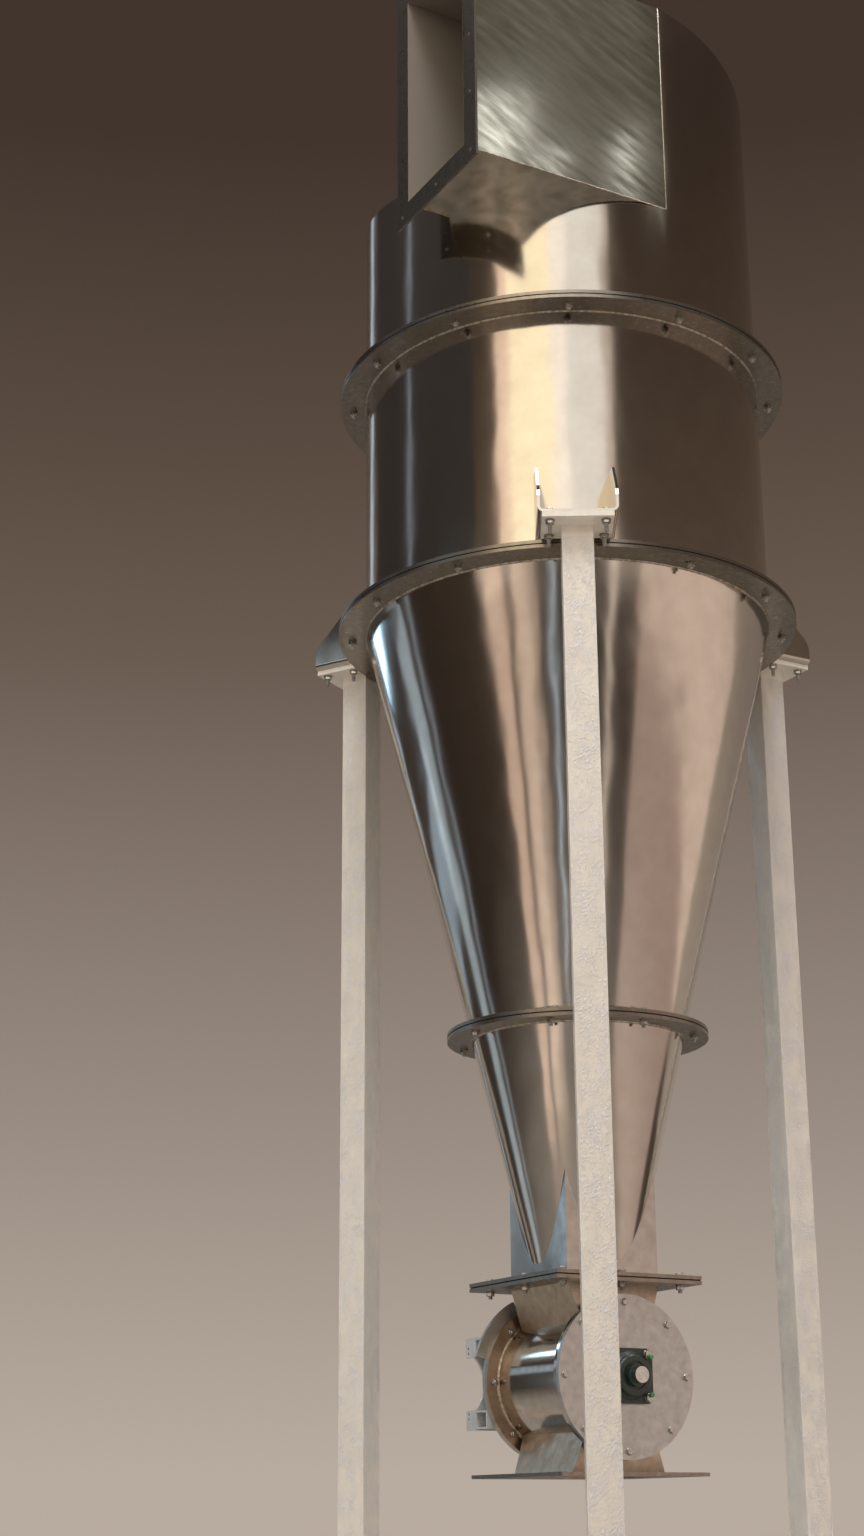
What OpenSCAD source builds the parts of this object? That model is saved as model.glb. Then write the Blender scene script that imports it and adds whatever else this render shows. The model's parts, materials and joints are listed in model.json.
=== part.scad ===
// Cyclone separator with a tangential inlet, a helical roof, a rotary discharge valve and three legs.
// Millimetres, Z up, X along the inlet flow. The origin is on the vertical axis at floor level.

/* [Body] */
// Outside diameter of the barrel
body_d = 1000; // [960:10:1040]
// Height of the barrel between its two flange faces
barrel_h = 632; // [560:4:720]
// Height from the head's flange face up to the floor of the inlet
head_h = 304; // [264:4:360]
// Sheet thickness of the shells, the roof and the duct
sheet_t = 4; // [3:0.5:6]
// Height of the upper cone between its flange faces
upper_cone_h = 1012; // [940:4:1080]
// Outside diameter of the cone at the neck flange pair
neck_d = 500; // [470:10:530]
// Height of the lower cone section from the box's lower face to the neck flange face
lower_cone_h = 562; // [530:2:600]
// Height above the box's lower face at which the lower cone ends
cone_tip_up = 40; // [30:5:60]
// Outside width of the square box under the cone
box_w = 240; // [220:4:260]

/* [Ring flanges] */
// Thickness of one ring flange
ring_t = 8; // [6:1:10]
// Thickness of a gasket
gasket_t = 3; // [2:0.5:4]
// Radial width of the flanges at the barrel's top and bottom
rim_w = 65; // [55:5:75]
// Radial width of the flanges at the neck
neck_rim_w = 55; // [45:5:65]

/* [Inlet] */
// Height of the inlet duct
inlet_h = 580; // [520:10:640]
// Distance from the vertical axis to the face of the inlet
inlet_reach = 565; // [530:5:600]
// Width of the flat bars of the inlet frame
frame_w = 50; // [40:5:60]
// Thickness of the flat bars of the inlet frame
frame_t = 6; // [5:1:8]
// Diameter of the holes in the inlet frame
frame_hole_d = 12; // [10:1:14]

/* [Outlet] */
// Outside diameter of the outlet pipe, which the inner wall of the duct touches
outlet_d = 440; // [420:10:460]
// Height of the outlet pipe's upper face above the roof's high end
outlet_up = 285; // [240:5:330]
// Distance that the outlet pipe reaches below the inlet's floor
finder_down = 200; // [150:10:240]
// Radial width of the outlet flange
outlet_rim_w = 35; // [30:5:45]
// Number of holes in the outlet flange
outlet_hole_n = 8; // [8:4:12]
// Diameter of the holes in the outlet flange
outlet_hole_d = 12; // [10:1:14]

/* [Rotary valve] */
// Height of the valve's axis above the floor
axis_z = 1870; // [1700:10:2000]
// Height of the valve between its two square flange faces
valve_h = 416; // [400:4:440]
// Outside diameter of the valve's body
valve_d = 290; // [280:2:300]
// Wall thickness of the valve's body
valve_wall = 10; // [8:1:12]
// Length of the valve's body over its two rings
valve_len = 304; // [296:2:320]
// Radial width of the rings at the ends of the valve's body
valve_rim_w = 30; // [25:5:40]
// Outer radius of the lug on the driven end plate
lug_r = 203; // [195:1:215]
// Thickness of the rings and of the end plates
plate_t = 10; // [8:1:12]
// Outside width of the square flanges
square_w = 380; // [370:5:400]
// Thickness of the square flanges
square_t = 8; // [6:1:10]
// Diameter of the holes in the discharge flange
square_hole_d = 12; // [10:1:14]
// Width of the throat and of the hopper where they meet the valve's body
throat_w = 174; // [160:2:190]
// Length along the valve's axis of the throat and of the hopper at the body
throat_len = 260; // [250:2:270]
// Wall thickness of the throat and of the hopper
throat_t = 6; // [4:1:8]

/* [Rotor] */
// Diameter of the rotor shaft
shaft_d = 35; // [30:1:38]
// Length of shaft beyond the end plate's outer face at the free end
shaft_out = 60; // [56:2:70]
// Length of shaft beyond the gearbox at the driven end
shaft_end = 5; // [4:1:10]
// Number of vanes
vane_n = 6; // [4:1:8]
// Thickness of a vane
vane_t = 6; // [5:1:8]
// Diameter of the rotor's hub
hub_d = 70; // [60:2:80]
// Clearance between the rotor and the housing
rotor_gap = 5; // [5:0.5:8]
// Radial clearance between the shaft and its bearings
shaft_gap = 0.05; // [0.02:0.01:0.08]

/* [Bearings] */
// Width of the square bearing flange
bearing_w = 117; // [108:1:130]
// Thickness of the bearing flange
bearing_t = 14; // [12:1:16]
// Height of the bearing over its boss
bearing_h = 44; // [38:1:46]
// Diameter of the bearing's boss
boss_d = 88; // [80:1:92]
// Height and width of the slope round the boss
boss_foot = 8; // [5:1:9]
// Radius of the bearing flange's corners
bearing_corner = 16; // [10:1:20]
// Wall thickness of the bearing's inner ring
inner_ring_t = 6.5; // [5:0.5:8]
// Distance that the inner ring stands out of the boss
inner_ring_out = 10; // [8:1:12]

/* [Drive] */
// Depth of the two rails that carry the gearbox, along the valve's axis
rail_d = 50; // [48:2:60]
// Height of a rail
rail_h = 40; // [30:2:44]
// Wall thickness of a rail
rail_wall = 4; // [3:0.5:5]
// Gap between the bearing's flange and the rails
rail_gap = 1.5; // [1:0.5:4]
// Reach of the rails from the valve's axis to their free ends
rail_reach = 165; // [155:1:175]
// Thickness of the carrier plate between the rails and the gearbox
carrier_t = 8; // [6:1:10]
// Depth of the hollow in the carrier plate's sides
carrier_cut = 26; // [20:1:30]
// Diameter of the hole in the carrier plate
carrier_bore = 75; // [60:1:84]
// Height of an ear over the carrier plate
ear_up = 33; // [28:1:38]
// Length of an ear along the rail's height
ear_l = 44; // [42:1:50]
// Thickness of an ear
ear_t = 5; // [4:0.5:6]
// Diameter of the two holes in an ear
ear_hole_d = 7; // [6:0.5:8]
// Distance from an ear's inner edge to its first hole
ear_hole_in = 9; // [7:0.5:11]
// Distance between the two holes of an ear
ear_hole_pitch = 11; // [10:0.5:13]
// Length of the gearbox housing along the valve's axis
gear_y = 112; // [106:2:120]
// Width of the gearbox's feet
gear_x = 144; // [138:2:150]
// Distance from the valve's axis down to the gearbox's lower face
gear_down = 72; // [70:1:78]
// Distance from the valve's axis up to the gearbox's upper face
gear_rise = 106; // [104:1:112]
// Distance from the valve's axis up to the motor's axis
gear_up = 63; // [60:1:65]
// Diameter of the housing round the worm wheel
wheel_case_d = 128; // [120:2:134]
// Width of the gearbox's case along the valve's axis
case_y = 68; // [60:2:80]
// Diameter of the gearbox's hubs
gear_hub_d = 84; // [78:2:90]
// Diameter of the housing round the worm
worm_case_d = 78; // [70:2:80]
// Width of the case between the wheel and the lower feet
gear_neck_w = 104; // [90:2:120]
// Distance that the cap of the worm's housing stands out of the feet
worm_cap = 6; // [4:1:10]
// Width of the flare before the motor's flange
flare_w = 14; // [8:1:16]
// Thickness of the gearbox's feet
gear_foot_t = 12; // [10:1:14]
// Depth of the hollow in the sides of a gearbox foot
foot_cut = 15; // [10:1:20]
// Diameter of the hollow in the sides of a gearbox foot
foot_cut_d = 90; // [80:2:96]
// Thickness of the gearbox's ribs
rib_t = 6; // [4:1:8]
// Distance from one rib to the next
rib_pitch = 36; // [30:1:42]
// Distance that the ribs stay back from the gearbox's faces
rib_back = 14; // [10:1:20]
// Distance from the valve's axis to the motor's face
motor_x = 112; // [106:2:130]
// Diameter of the motor's round flange
motor_flange_d = 160; // [150:1:166]
// Thickness of the motor's round flange
motor_flange_t = 12; // [10:1:14]
// Diameter of the motor's body without its fins
motor_d = 152; // [140:2:156]
// Length of the motor's body
motor_l = 165; // [160:5:200]
// Height of the motor's cooling fins
fin_h = 12; // [8:1:14]
// Thickness of a cooling fin
fin_t = 3; // [2.5:0.5:4]
// Distance from one cooling fin to the next
fin_pitch = 11; // [10:0.5:14]
// Thickness of the motor's end shields
shield_t = 14; // [10:1:20]
// Height of the motor's axis over its feet
motor_foot_h = 92; // [90:1:96]
// Distance between the middles of the motor's two feet
motor_foot_gap = 124; // [120:2:130]
// Width of a motor foot
motor_foot_w = 36; // [30:2:40]
// Thickness of a motor foot and of its web
motor_foot_t = 10; // [8:1:12]
// Distance from the ends of the motor's body to its feet
motor_foot_in = 32; // [20:2:50]
// Length of the fan cover
cover_l = 58; // [50:2:70]
// Radius of the fan cover's rim
cover_rim = 16; // [10:1:20]
// Radius of the innermost air slot
slot_r = 20; // [16:1:24]
// Width of an air slot and of a spoke
slot_w = 6; // [4:0.5:7]
// Distance from one air slot to the next
slot_pitch = 12; // [10:1:14]
// Depth of an air slot
slot_h = 5; // [3:1:8]
// Distance from the motor's face to the terminal box
term_from = 46; // [36:2:50]
// Length of the terminal box
term_l = 104; // [90:2:110]
// Width of the terminal box
term_w = 100; // [80:2:110]
// Height of the terminal box at its lower side
term_low = 26; // [20:1:34]
// Height of the terminal box at its higher side
term_high = 50; // [44:1:56]
// Height of the terminal box's lid
lid_h = 26; // [22:1:32]
// Size of the slopes on the lid's long edges
lid_edge = 12; // [8:1:16]
// Distance that the lid stands out over the terminal box
lid_over = 4; // [2:1:6]

/* [Supports] */
// Angle of the first leg from the direction of flow
leg_first = 0; // [-5:1:5]
// Width of the square leg tube
leg_w = 70; // [60:5:80]
// Wall thickness of the leg tube
leg_wall = 4; // [3:0.5:5]
// Gap between the lower barrel flange and the leg tube
leg_gap = 5; // [5:1:15]
// Width of the leg's top plate across the leg
top_w = 160; // [150:5:170]
// Depth of the leg's top plate
top_d = 120; // [110:5:130]
// Thickness of the leg's top plate
top_t = 12; // [8:1:15]
// Length of the foot plate along the radius
foot_l = 220; // [200:5:240]
// Width of the foot plate
foot_w = 140; // [120:5:160]
// Thickness of the foot plate
foot_t = 10; // [8:1:15]
// Distance between the two anchor holes of a foot plate
foot_pitch = 160; // [140:2:170]
// Diameter of the holes in the foot plate
foot_hole_d = 18; // [14:1:20]
// Width of a support bracket
arm_w = 180; // [170:2:200]
// Plate thickness of a support bracket
arm_t = 6; // [5:1:8]
// Height of the upright edge at the outer end of a support bracket's cheeks
arm_lip = 30; // [20:2:50]
// Radius of the round shoulder above that edge
arm_round = 60; // [40:5:70]
// Height at which the cheeks' slope eases
arm_ease = 153; // [145:1:165]
// Height of a support bracket's cheeks at the shell
arm_h = 195; // [180:5:220]
// Outside bend radius of a support bracket
arm_bend = 14; // [12:1:20]
// Gap between the flange pair and the bracket above it
arm_gap = 9; // [8:0.5:12]

/* [Hidden] */
body_r = body_d / 2;
neck_r = neck_d / 2;
pipe_r = outlet_d / 2;
inlet_w = body_r - pipe_r;
valve_top = axis_z + valve_h / 2;
valve_low = axis_z - valve_h / 2;
box_z = valve_top + gasket_t;
neck_z = box_z + lower_cone_h;
cone_z = neck_z + gasket_t;
waist_z = cone_z + upper_cone_h;
barrel_z = waist_z + gasket_t;
joint_z = barrel_z + barrel_h;
head_z = joint_z + gasket_t;
floor_z = head_z + head_h;
roof_z = floor_z + inlet_h;
outlet_z = roof_z + outlet_up;
cone_slope = (body_r - neck_r) / upper_cone_h;
tip_r = box_w / 2 + 1;
tip_slope = (neck_r - tip_r) / (lower_cone_h - cone_tip_up);
valve_r = valve_d / 2;
rotor_r = valve_r - valve_wall - rotor_gap;
end_y = valve_len / 2;
plate_y = end_y + plate_t;
gear_y0 = plate_y + rail_d + carrier_t;
gear_y1 = gear_y0 + gear_y;
drive_y = gear_y0 + gear_y / 2;
motor_z = axis_z + gear_up;
motor_end = motor_x + motor_l;
fin_r = motor_d / 2 + fin_h;
rail_z = bearing_w / 2 + rail_gap + rail_h / 2;
short_x = motor_x - motor_flange_t - rotor_gap;
leg_r = body_r + rim_w + leg_gap + leg_w / 2;
arm_z = barrel_z + ring_t + arm_gap;
top_in = body_r + rim_w + leg_gap;
arm_end = top_in + top_d;
leg_top = arm_z - top_t;
frame_y = -body_r + inlet_w / 2;
frame_mid = floor_z + inlet_h / 2;
hole_y = (inlet_w + frame_w) / 2;
hole_z = (inlet_h + frame_w) / 2;
fn_big = 120;
fn_small = 48;
turn_step = 3;
roof_turn = 348;
margin = 100;
cut = 10;
edge = 3;
arm_root = 40;
gasket_in = 2;
taper_from = 110;
lug_from = 118;
lug_to = 163;
term_x = motor_x + term_from;
steel = [0.78, 0.77, 0.74];
ring_steel = [0.70, 0.69, 0.67];
cream = [0.86, 0.82, 0.74];
dark = [0.20, 0.22, 0.25];
grey = [0.62, 0.63, 0.62];
black = [0.10, 0.12, 0.11];

module disc(d, h) {
    cylinder(d = d, h = h, $fn = fn_big);
}

module along_y(y0, y1, d) {
    translate([0, y0, axis_z])
        rotate([-90, 0, 0])
            cylinder(d = d, h = y1 - y0, $fn = fn_big);
}

module along_x(x0, x1, d) {
    translate([x0, drive_y, motor_z])
        rotate([0, 90, 0])
            cylinder(d = d, h = x1 - x0, $fn = fn_big);
}

module block(x0, x1, y0, y1, z0, z1) {
    translate([x0, y0, z0])
        cube([x1 - x0, y1 - y0, z1 - z0]);
}

// Ring flange whose bore follows the shell, with inside radii at its lower and upper face.
module ring(z0, z1, r0, r1, ro) {
    rotate_extrude($fn = fn_big)
        polygon([[r0, z0], [ro, z0], [ro, z1], [r1, z1]]);
}

// Sheet shell of revolution with outside radii at its lower and upper end.
module shell(z0, z1, r0, r1) {
    rotate_extrude($fn = fn_big)
        polygon([[r0 - sheet_t, z0], [r0, z0], [r1, z1], [r1 - sheet_t, z1]]);
}

// Height of the roof's upper face after a turn from the inlet plane.
function roof_at(turn) = roof_z - inlet_h * turn / 360;

// Solid between two radii that follows the roof's helix, from one offset to another.
module helix_band(ri, ro, low, high) {
    n = roof_turn / turn_step;
    pts = [
        for (i = [0 : n])
            let (t = i * turn_step, a = t - 90, z = roof_at(t))
                for (p = [[ri, low], [ro, low], [ro, high], [ri, high]])
                    [p[0] * cos(a), p[0] * sin(a), z + p[1]]
    ];
    sides = [
        for (i = [0 : n - 1], k = [0 : 3])
            let (a = 4 * i + k, b = 4 * i + (k + 1) % 4, c = b + 4, d = a + 4)
                for (f = [[a, b, c], [a, c, d]]) f
    ];
    ends = [[3, 2, 1, 0], [4 * n, 4 * n + 1, 4 * n + 2, 4 * n + 3]];
    polyhedron(points = pts, faces = concat(sides, ends));
}

// Space that the inlet duct takes from the head, above a given height.
module duct_room(z0) {
    block(-body_r - margin, 0, -body_r - margin, -pipe_r, z0, roof_z + margin);
}

// Helix that runs from the outlet pipe past the shell, so that roof and shell share its faces.
module roof_band(low, high) {
    helix_band(pipe_r / cos(turn_step / 2), body_r + margin, low, high);
}

module inlet_flange() {
    color(ring_steel)
        difference() {
            block(-inlet_reach, -inlet_reach + frame_t, frame_y - inlet_w / 2 - frame_w,
                frame_y + inlet_w / 2 + frame_w, floor_z - frame_w, roof_z + frame_w);
            block(-inlet_reach - cut, -inlet_reach + frame_t + cut, -body_r, -pipe_r, floor_z, roof_z);
            for (y = [-hole_y, hole_y], z = [-hole_z, -hole_z / 2, 0, hole_z / 2, hole_z])
                frame_hole(y, z);
            for (z = [-hole_z, hole_z])
                frame_hole(0, z);
        }
}

module frame_hole(y, z) {
    translate([-inlet_reach - cut, frame_y + y, frame_mid + z])
        rotate([0, 90, 0])
            cylinder(d = frame_hole_d, h = frame_t + 2 * cut, $fn = fn_small);
}

module inlet_duct() {
    color(steel)
        difference() {
            block(-inlet_reach, 0, -body_r, -pipe_r, floor_z, roof_z);
            block(-inlet_reach - cut, cut, -body_r + sheet_t, -pipe_r - sheet_t,
                floor_z + sheet_t, roof_z - sheet_t);
            translate([0, 0, floor_z - cut])
                disc(body_d, cut + sheet_t);
        }
}

module head_shell() {
    color(steel)
        difference() {
            shell(head_z, roof_z, body_r, body_r);
            duct_room(floor_z + sheet_t);
            roof_band(-sheet_t, inlet_h + margin);
        }
}

module helical_roof() {
    color(steel)
        difference() {
            intersection() {
                roof_band(-sheet_t, 0);
                translate([0, 0, floor_z - margin])
                    disc(body_d, inlet_h + 2 * margin);
            }
            duct_room(floor_z - margin);
        }
}

module outlet_pipe() {
    color(steel)
        shell(floor_z - finder_down, outlet_z, pipe_r, pipe_r);
}

module outlet_flange() {
    color(ring_steel)
        difference() {
            ring(outlet_z - ring_t, outlet_z, pipe_r, pipe_r, pipe_r + outlet_rim_w);
            for (i = [0 : outlet_hole_n - 1])
                rotate([0, 0, (i + 0.5) * 360 / outlet_hole_n])
                    translate([pipe_r + outlet_rim_w / 2, 0, outlet_z - ring_t - cut])
                        cylinder(d = outlet_hole_d, h = ring_t + 2 * cut, $fn = fn_small);
        }
}

module head_flange() {
    color(ring_steel)
        ring(head_z, head_z + ring_t, body_r, body_r, body_r + rim_w);
}

module head_gasket() {
    color(black)
        ring(joint_z, head_z, body_r - sheet_t, body_r - sheet_t, body_r + rim_w - gasket_in);
}

module barrel_top_flange() {
    color(ring_steel)
        ring(joint_z - ring_t, joint_z, body_r, body_r, body_r + rim_w);
}

module barrel() {
    color(steel)
        shell(barrel_z, joint_z, body_r, body_r);
}

module barrel_bottom_flange() {
    color(ring_steel)
        ring(barrel_z, barrel_z + ring_t, body_r, body_r, body_r + rim_w);
}

module barrel_gasket() {
    color(black)
        ring(waist_z, barrel_z, body_r - sheet_t, body_r - sheet_t, body_r + rim_w - gasket_in);
}

module cone_top_flange() {
    color(ring_steel)
        ring(waist_z - ring_t, waist_z, body_r - cone_slope * ring_t, body_r, body_r + rim_w);
}

module upper_cone() {
    color(steel)
        shell(cone_z, waist_z, neck_r, body_r);
}

module cone_bottom_flange() {
    color(ring_steel)
        ring(cone_z, cone_z + ring_t, neck_r, neck_r + cone_slope * ring_t, neck_r + neck_rim_w);
}

module neck_gasket() {
    color(black)
        ring(neck_z, cone_z, neck_r - sheet_t, neck_r - sheet_t, neck_r + neck_rim_w - gasket_in);
}

module lower_cone_flange() {
    color(ring_steel)
        ring(neck_z - ring_t, neck_z, neck_r - tip_slope * ring_t, neck_r, neck_r + neck_rim_w);
}

module lower_cone() {
    color(steel)
        shell(box_z + cone_tip_up, neck_z, tip_r, neck_r);
}

// Square tube of the box, cut to the outside of the cone that enters it.
module discharge_box() {
    in = box_w / 2 - sheet_t;
    color(steel)
        difference() {
            block(-box_w / 2, box_w / 2, -box_w / 2, box_w / 2, box_z, neck_z - margin);
            block(-in, in, -in, in, box_z - cut, neck_z);
            rotate_extrude($fn = fn_big)
                polygon([
                    [0, box_z + cone_tip_up], [tip_r, box_z + cone_tip_up], [neck_r, neck_z], [0, neck_z]
                ]);
        }
}

module square_plate(z0, z1) {
    difference() {
        block(-square_w / 2, square_w / 2, -square_w / 2, square_w / 2, z0, z1);
        block(-box_w / 2, box_w / 2, -box_w / 2, box_w / 2, z0 - cut, z1 + cut);
    }
}

module box_flange() {
    color(ring_steel)
        square_plate(box_z, box_z + square_t);
}

module box_gasket() {
    out = square_w / 2 - gasket_in;
    in = box_w / 2 - throat_t;
    color(black)
        difference() {
            block(-out, out, -out, out, valve_top, box_z);
            block(-in, in, -in, in, valve_top - cut, box_z + cut);
        }
}

module valve_top_flange() {
    color(ring_steel)
        square_plate(valve_top - square_t, valve_top);
}

// Half outline of the tapered tube above the axis, with its width at the body and at the flange.
module taper_side(low_w, high_w, more) {
    high = valve_h / 2 - square_t;
    top = valve_h / 2 + more;
    polygon([
        [-low_w / 2, taper_from], [low_w / 2, taper_from], [high_w / 2, high],
        [high_w / 2, top], [-high_w / 2, top], [-high_w / 2, high]
    ]);
}

// Tapered tube from the square opening to the valve's body, for the side above the axis.
module taper(inset, more) {
    w = box_w - 2 * inset;
    intersection() {
        translate([0, square_w / 2, 0])
            rotate([90, 0, 0])
                linear_extrude(height = square_w)
                    taper_side(throat_w - 2 * inset, w, more);
        translate([-square_w / 2, 0, 0])
            rotate([90, 0, 90])
                linear_extrude(height = square_w)
                    taper_side(throat_len - 2 * inset, w, more);
    }
}

module throat() {
    difference() {
        taper(0, 0);
        taper(throat_t, cut);
        translate([0, 0, -axis_z])
            along_y(-end_y, end_y, valve_d);
    }
}

module valve_throat() {
    color(steel)
        translate([0, 0, axis_z])
            throat();
}

module discharge_hopper() {
    color(steel)
        translate([0, 0, axis_z])
            mirror([0, 0, 1])
                throat();
}

module valve_body() {
    color(ring_steel)
        difference() {
            union() {
                along_y(-end_y, end_y, valve_d);
                along_y(-end_y, -end_y + plate_t, valve_d + 2 * valve_rim_w);
                along_y(end_y - plate_t, end_y, valve_d + 2 * valve_rim_w);
            }
            along_y(-end_y - cut, end_y + cut, valve_d - 2 * valve_wall);
            block(-throat_w / 2 + throat_t, throat_w / 2 - throat_t, -throat_len / 2 + throat_t,
                throat_len / 2 - throat_t, axis_z - valve_r - cut, axis_z + valve_r + cut);
        }
}

module end_plate_free() {
    color(ring_steel)
        difference() {
            along_y(-plate_y, -end_y, valve_d + 2 * valve_rim_w);
            along_y(-plate_y - cut, -end_y + cut, shaft_d + cut);
        }
}

// Sector of a larger disc that stands out beyond the driven end plate.
module drive_lug() {
    far = 2 * lug_r;
    intersection() {
        along_y(end_y, plate_y, 2 * lug_r);
        translate([0, plate_y, axis_z])
            rotate([90, 0, 0])
                linear_extrude(height = plate_t)
                    polygon([
                        [0, 0], [far * cos(lug_from), far * sin(lug_from)], [far * cos(lug_to), far * sin(lug_to)]
                    ]);
    }
}

module end_plate_drive() {
    color(ring_steel)
        difference() {
            union() {
                along_y(end_y, plate_y, valve_d + 2 * valve_rim_w);
                drive_lug();
            }
            along_y(end_y - cut, plate_y + cut, shaft_d + cut);
        }
}

// Flange unit with a square plate, a round housing and the inner ring that grips the shaft.
module bearing_shape() {
    difference() {
        translate([0, plate_y, axis_z])
            rotate([-90, 0, 0])
                union() {
                    linear_extrude(height = bearing_t)
                        rounded_plate(bearing_w, bearing_corner);
                    rotate_extrude($fn = fn_big)
                        bearing_side();
                }
        along_y(plate_y - cut, plate_y + bearing_h + cut, shaft_d + 2 * shaft_gap);
    }
}

// Half section of the bearing's housing, seal groove and inner ring.
module bearing_side() {
    boss_r = boss_d / 2;
    inner_r = shaft_d / 2 + inner_ring_t;
    seal_r = inner_r + inner_ring_t;
    face_h = bearing_h - inner_ring_out;
    polygon([
        [0, 1], [boss_r + boss_foot, 1], [boss_r + boss_foot, bearing_t], [boss_r, bearing_t + boss_foot],
        [boss_r, face_h - edge], [boss_r - edge, face_h], [seal_r, face_h], [seal_r, face_h - edge],
        [inner_r, face_h - edge], [inner_r, bearing_h], [0, bearing_h]
    ]);
}

// Square with its four corners rounded.
module rounded_plate(w, r) {
    union() {
        square([w, w - 2 * r], center = true);
        square([w - 2 * r, w], center = true);
        for (x = [-1, 1], y = [-1, 1])
            translate([x * (w / 2 - r), y * (w / 2 - r)])
                circle(r = r, $fn = fn_small);
    }
}

module bearing_free() {
    color(black)
        mirror([0, 1, 0])
            bearing_shape();
}

module bearing_drive() {
    color(black)
        bearing_shape();
}

module discharge_flange() {
    color(ring_steel)
        difference() {
            square_plate(valve_low, valve_low + square_t);
            for (i = [-1, 0, 1], j = [-1, 0, 1])
                if (i != 0 || j != 0)
                    translate([i * (square_w + box_w) / 4, j * (square_w + box_w) / 4, valve_low - cut])
                        cylinder(d = square_hole_d, h = square_t + 2 * cut, $fn = fn_small);
        }
}

module rotor_shaft() {
    color(grey)
        along_y(-plate_y - shaft_out, gear_y1 + shaft_end, shaft_d);
}

// End view of the rotor with its hub and its flat vanes.
module rotor_outline() {
    tip = sqrt(rotor_r * rotor_r - vane_t * vane_t / 4);
    union() {
        circle(d = hub_d, $fn = fn_big);
        for (i = [0 : vane_n - 1])
            rotate((i + 0.5) * 360 / vane_n)
                translate([0, -vane_t / 2])
                    square([tip, vane_t]);
    }
}

module rotor_vanes() {
    len = end_y - rotor_gap;
    color(grey)
        difference() {
            upright(-len, len)
                rotor_outline();
            along_y(-len - cut, len + cut, shaft_d);
        }
}

// Places a shape drawn in the X-Z plane so that it is extruded along Y from y0 to y1.
module upright(y0, y1) {
    translate([0, y1, axis_z])
        rotate([90, 0, 0])
            linear_extrude(height = y1 - y0)
                children();
}

// Plate that carries the gearbox, with hollow sides and a corner left out beside the motor's flange.
module carrier_outline() {
    top = rail_z + ear_l / 2;
    mid = rail_z - ear_l / 2;
    cut_r = (mid * mid + carrier_cut * carrier_cut) / (2 * carrier_cut);
    difference() {
        square([2 * rail_reach, 2 * top], center = true);
        for (side = [-1, 1])
            translate([side * (rail_reach + cut_r - carrier_cut), 0])
                circle(r = cut_r, $fn = fn_big);
        circle(d = carrier_bore, $fn = fn_big);
        translate([short_x, -mid])
            square([rail_reach, 2 * top]);
    }
}

// Square tube along X, open at both ends.
module rail(x1, z) {
    difference() {
        block(-rail_reach, x1, plate_y, plate_y + rail_d, z - rail_h / 2, z + rail_h / 2);
        block(-rail_reach - cut, x1 + cut, plate_y + rail_wall, plate_y + rail_d - rail_wall,
            z - rail_h / 2 + rail_wall, z + rail_h / 2 - rail_wall);
    }
}

// Ear at a corner of the carrier plate, with two holes towards the middle.
module ear(side, up) {
    x = side * (rail_reach - ear_t / 2);
    z = axis_z + up * rail_z;
    hole_y = gear_y0 + 2 * ear_up / 3;
    difference() {
        block(x - ear_t / 2, x + ear_t / 2, gear_y0 - 1, gear_y0 + ear_up, z - ear_l / 2, z + ear_l / 2);
        for (i = [0, 1])
            translate([x - ear_t, hole_y, z - up * (ear_l / 2 - ear_hole_in - i * ear_hole_pitch)])
                rotate([0, 90, 0])
                    cylinder(d = ear_hole_d, h = 2 * ear_t, $fn = fn_small);
    }
}

module drive_bracket() {
    color(grey)
        union() {
            rail(short_x, axis_z + rail_z);
            rail(rail_reach, axis_z - rail_z);
            upright(gear_y0 - carrier_t, gear_y0)
                carrier_outline();
            ear(-1, 1);
            ear(-1, -1);
            ear(1, -1);
        }
}

// Outline of the gearbox's case, round below and square above where the worm lies.
module case_outline() {
    union() {
        circle(d = wheel_case_d, $fn = fn_big);
        translate([-wheel_case_d / 2, 0])
            square([wheel_case_d, gear_rise - gear_foot_t / 2]);
        translate([-gear_neck_w / 2, -gear_down + gear_foot_t / 2])
            square([gear_neck_w, gear_down]);
    }
}

// Foot of the gearbox between two heights over the valve's axis, with its sides hollowed.
module gear_foot(z0, z1) {
    difference() {
        block(-gear_x / 2, gear_x / 2, gear_y0, gear_y1, axis_z + z0, axis_z + z1);
        for (side = [-1, 1])
            translate([side * (gear_x / 2 + foot_cut_d / 2 - foot_cut), drive_y, axis_z + z0 - cut])
                cylinder(d = foot_cut_d, h = z1 - z0 + 2 * cut, $fn = fn_big);
    }
}

// Worm gearbox with its feet, its hubs and the flared housing towards the motor.
module gearbox() {
    color(grey)
        difference() {
            union() {
                upright(drive_y - case_y / 2, drive_y + case_y / 2)
                    case_outline();
                along_y(gear_y0, gear_y1, gear_hub_d);
                gear_foot(-gear_down, -gear_down + gear_foot_t);
                gear_foot(gear_rise - gear_foot_t, gear_rise);
                gear_ribs();
                worm_case();
            }
            along_y(gear_y0 - cut, gear_y1 + cut, shaft_d + 2 * shaft_gap);
        }
}

// Upright ribs that stiffen the feet on both faces of the case.
module gear_ribs() {
    for (i = [-1, 0, 1])
        block(i * rib_pitch - rib_t / 2, i * rib_pitch + rib_t / 2, gear_y0 + rib_back, gear_y1 - rib_back,
            axis_z - gear_down + 1, axis_z + gear_rise - 1);
}

// Housing of the worm: a closed cap at one end and a flare to the motor's flange at the other.
module worm_case() {
    translate([0, drive_y, motor_z])
        rotate([0, 90, 0])
            rotate_extrude($fn = fn_big)
                worm_side();
}

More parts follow.
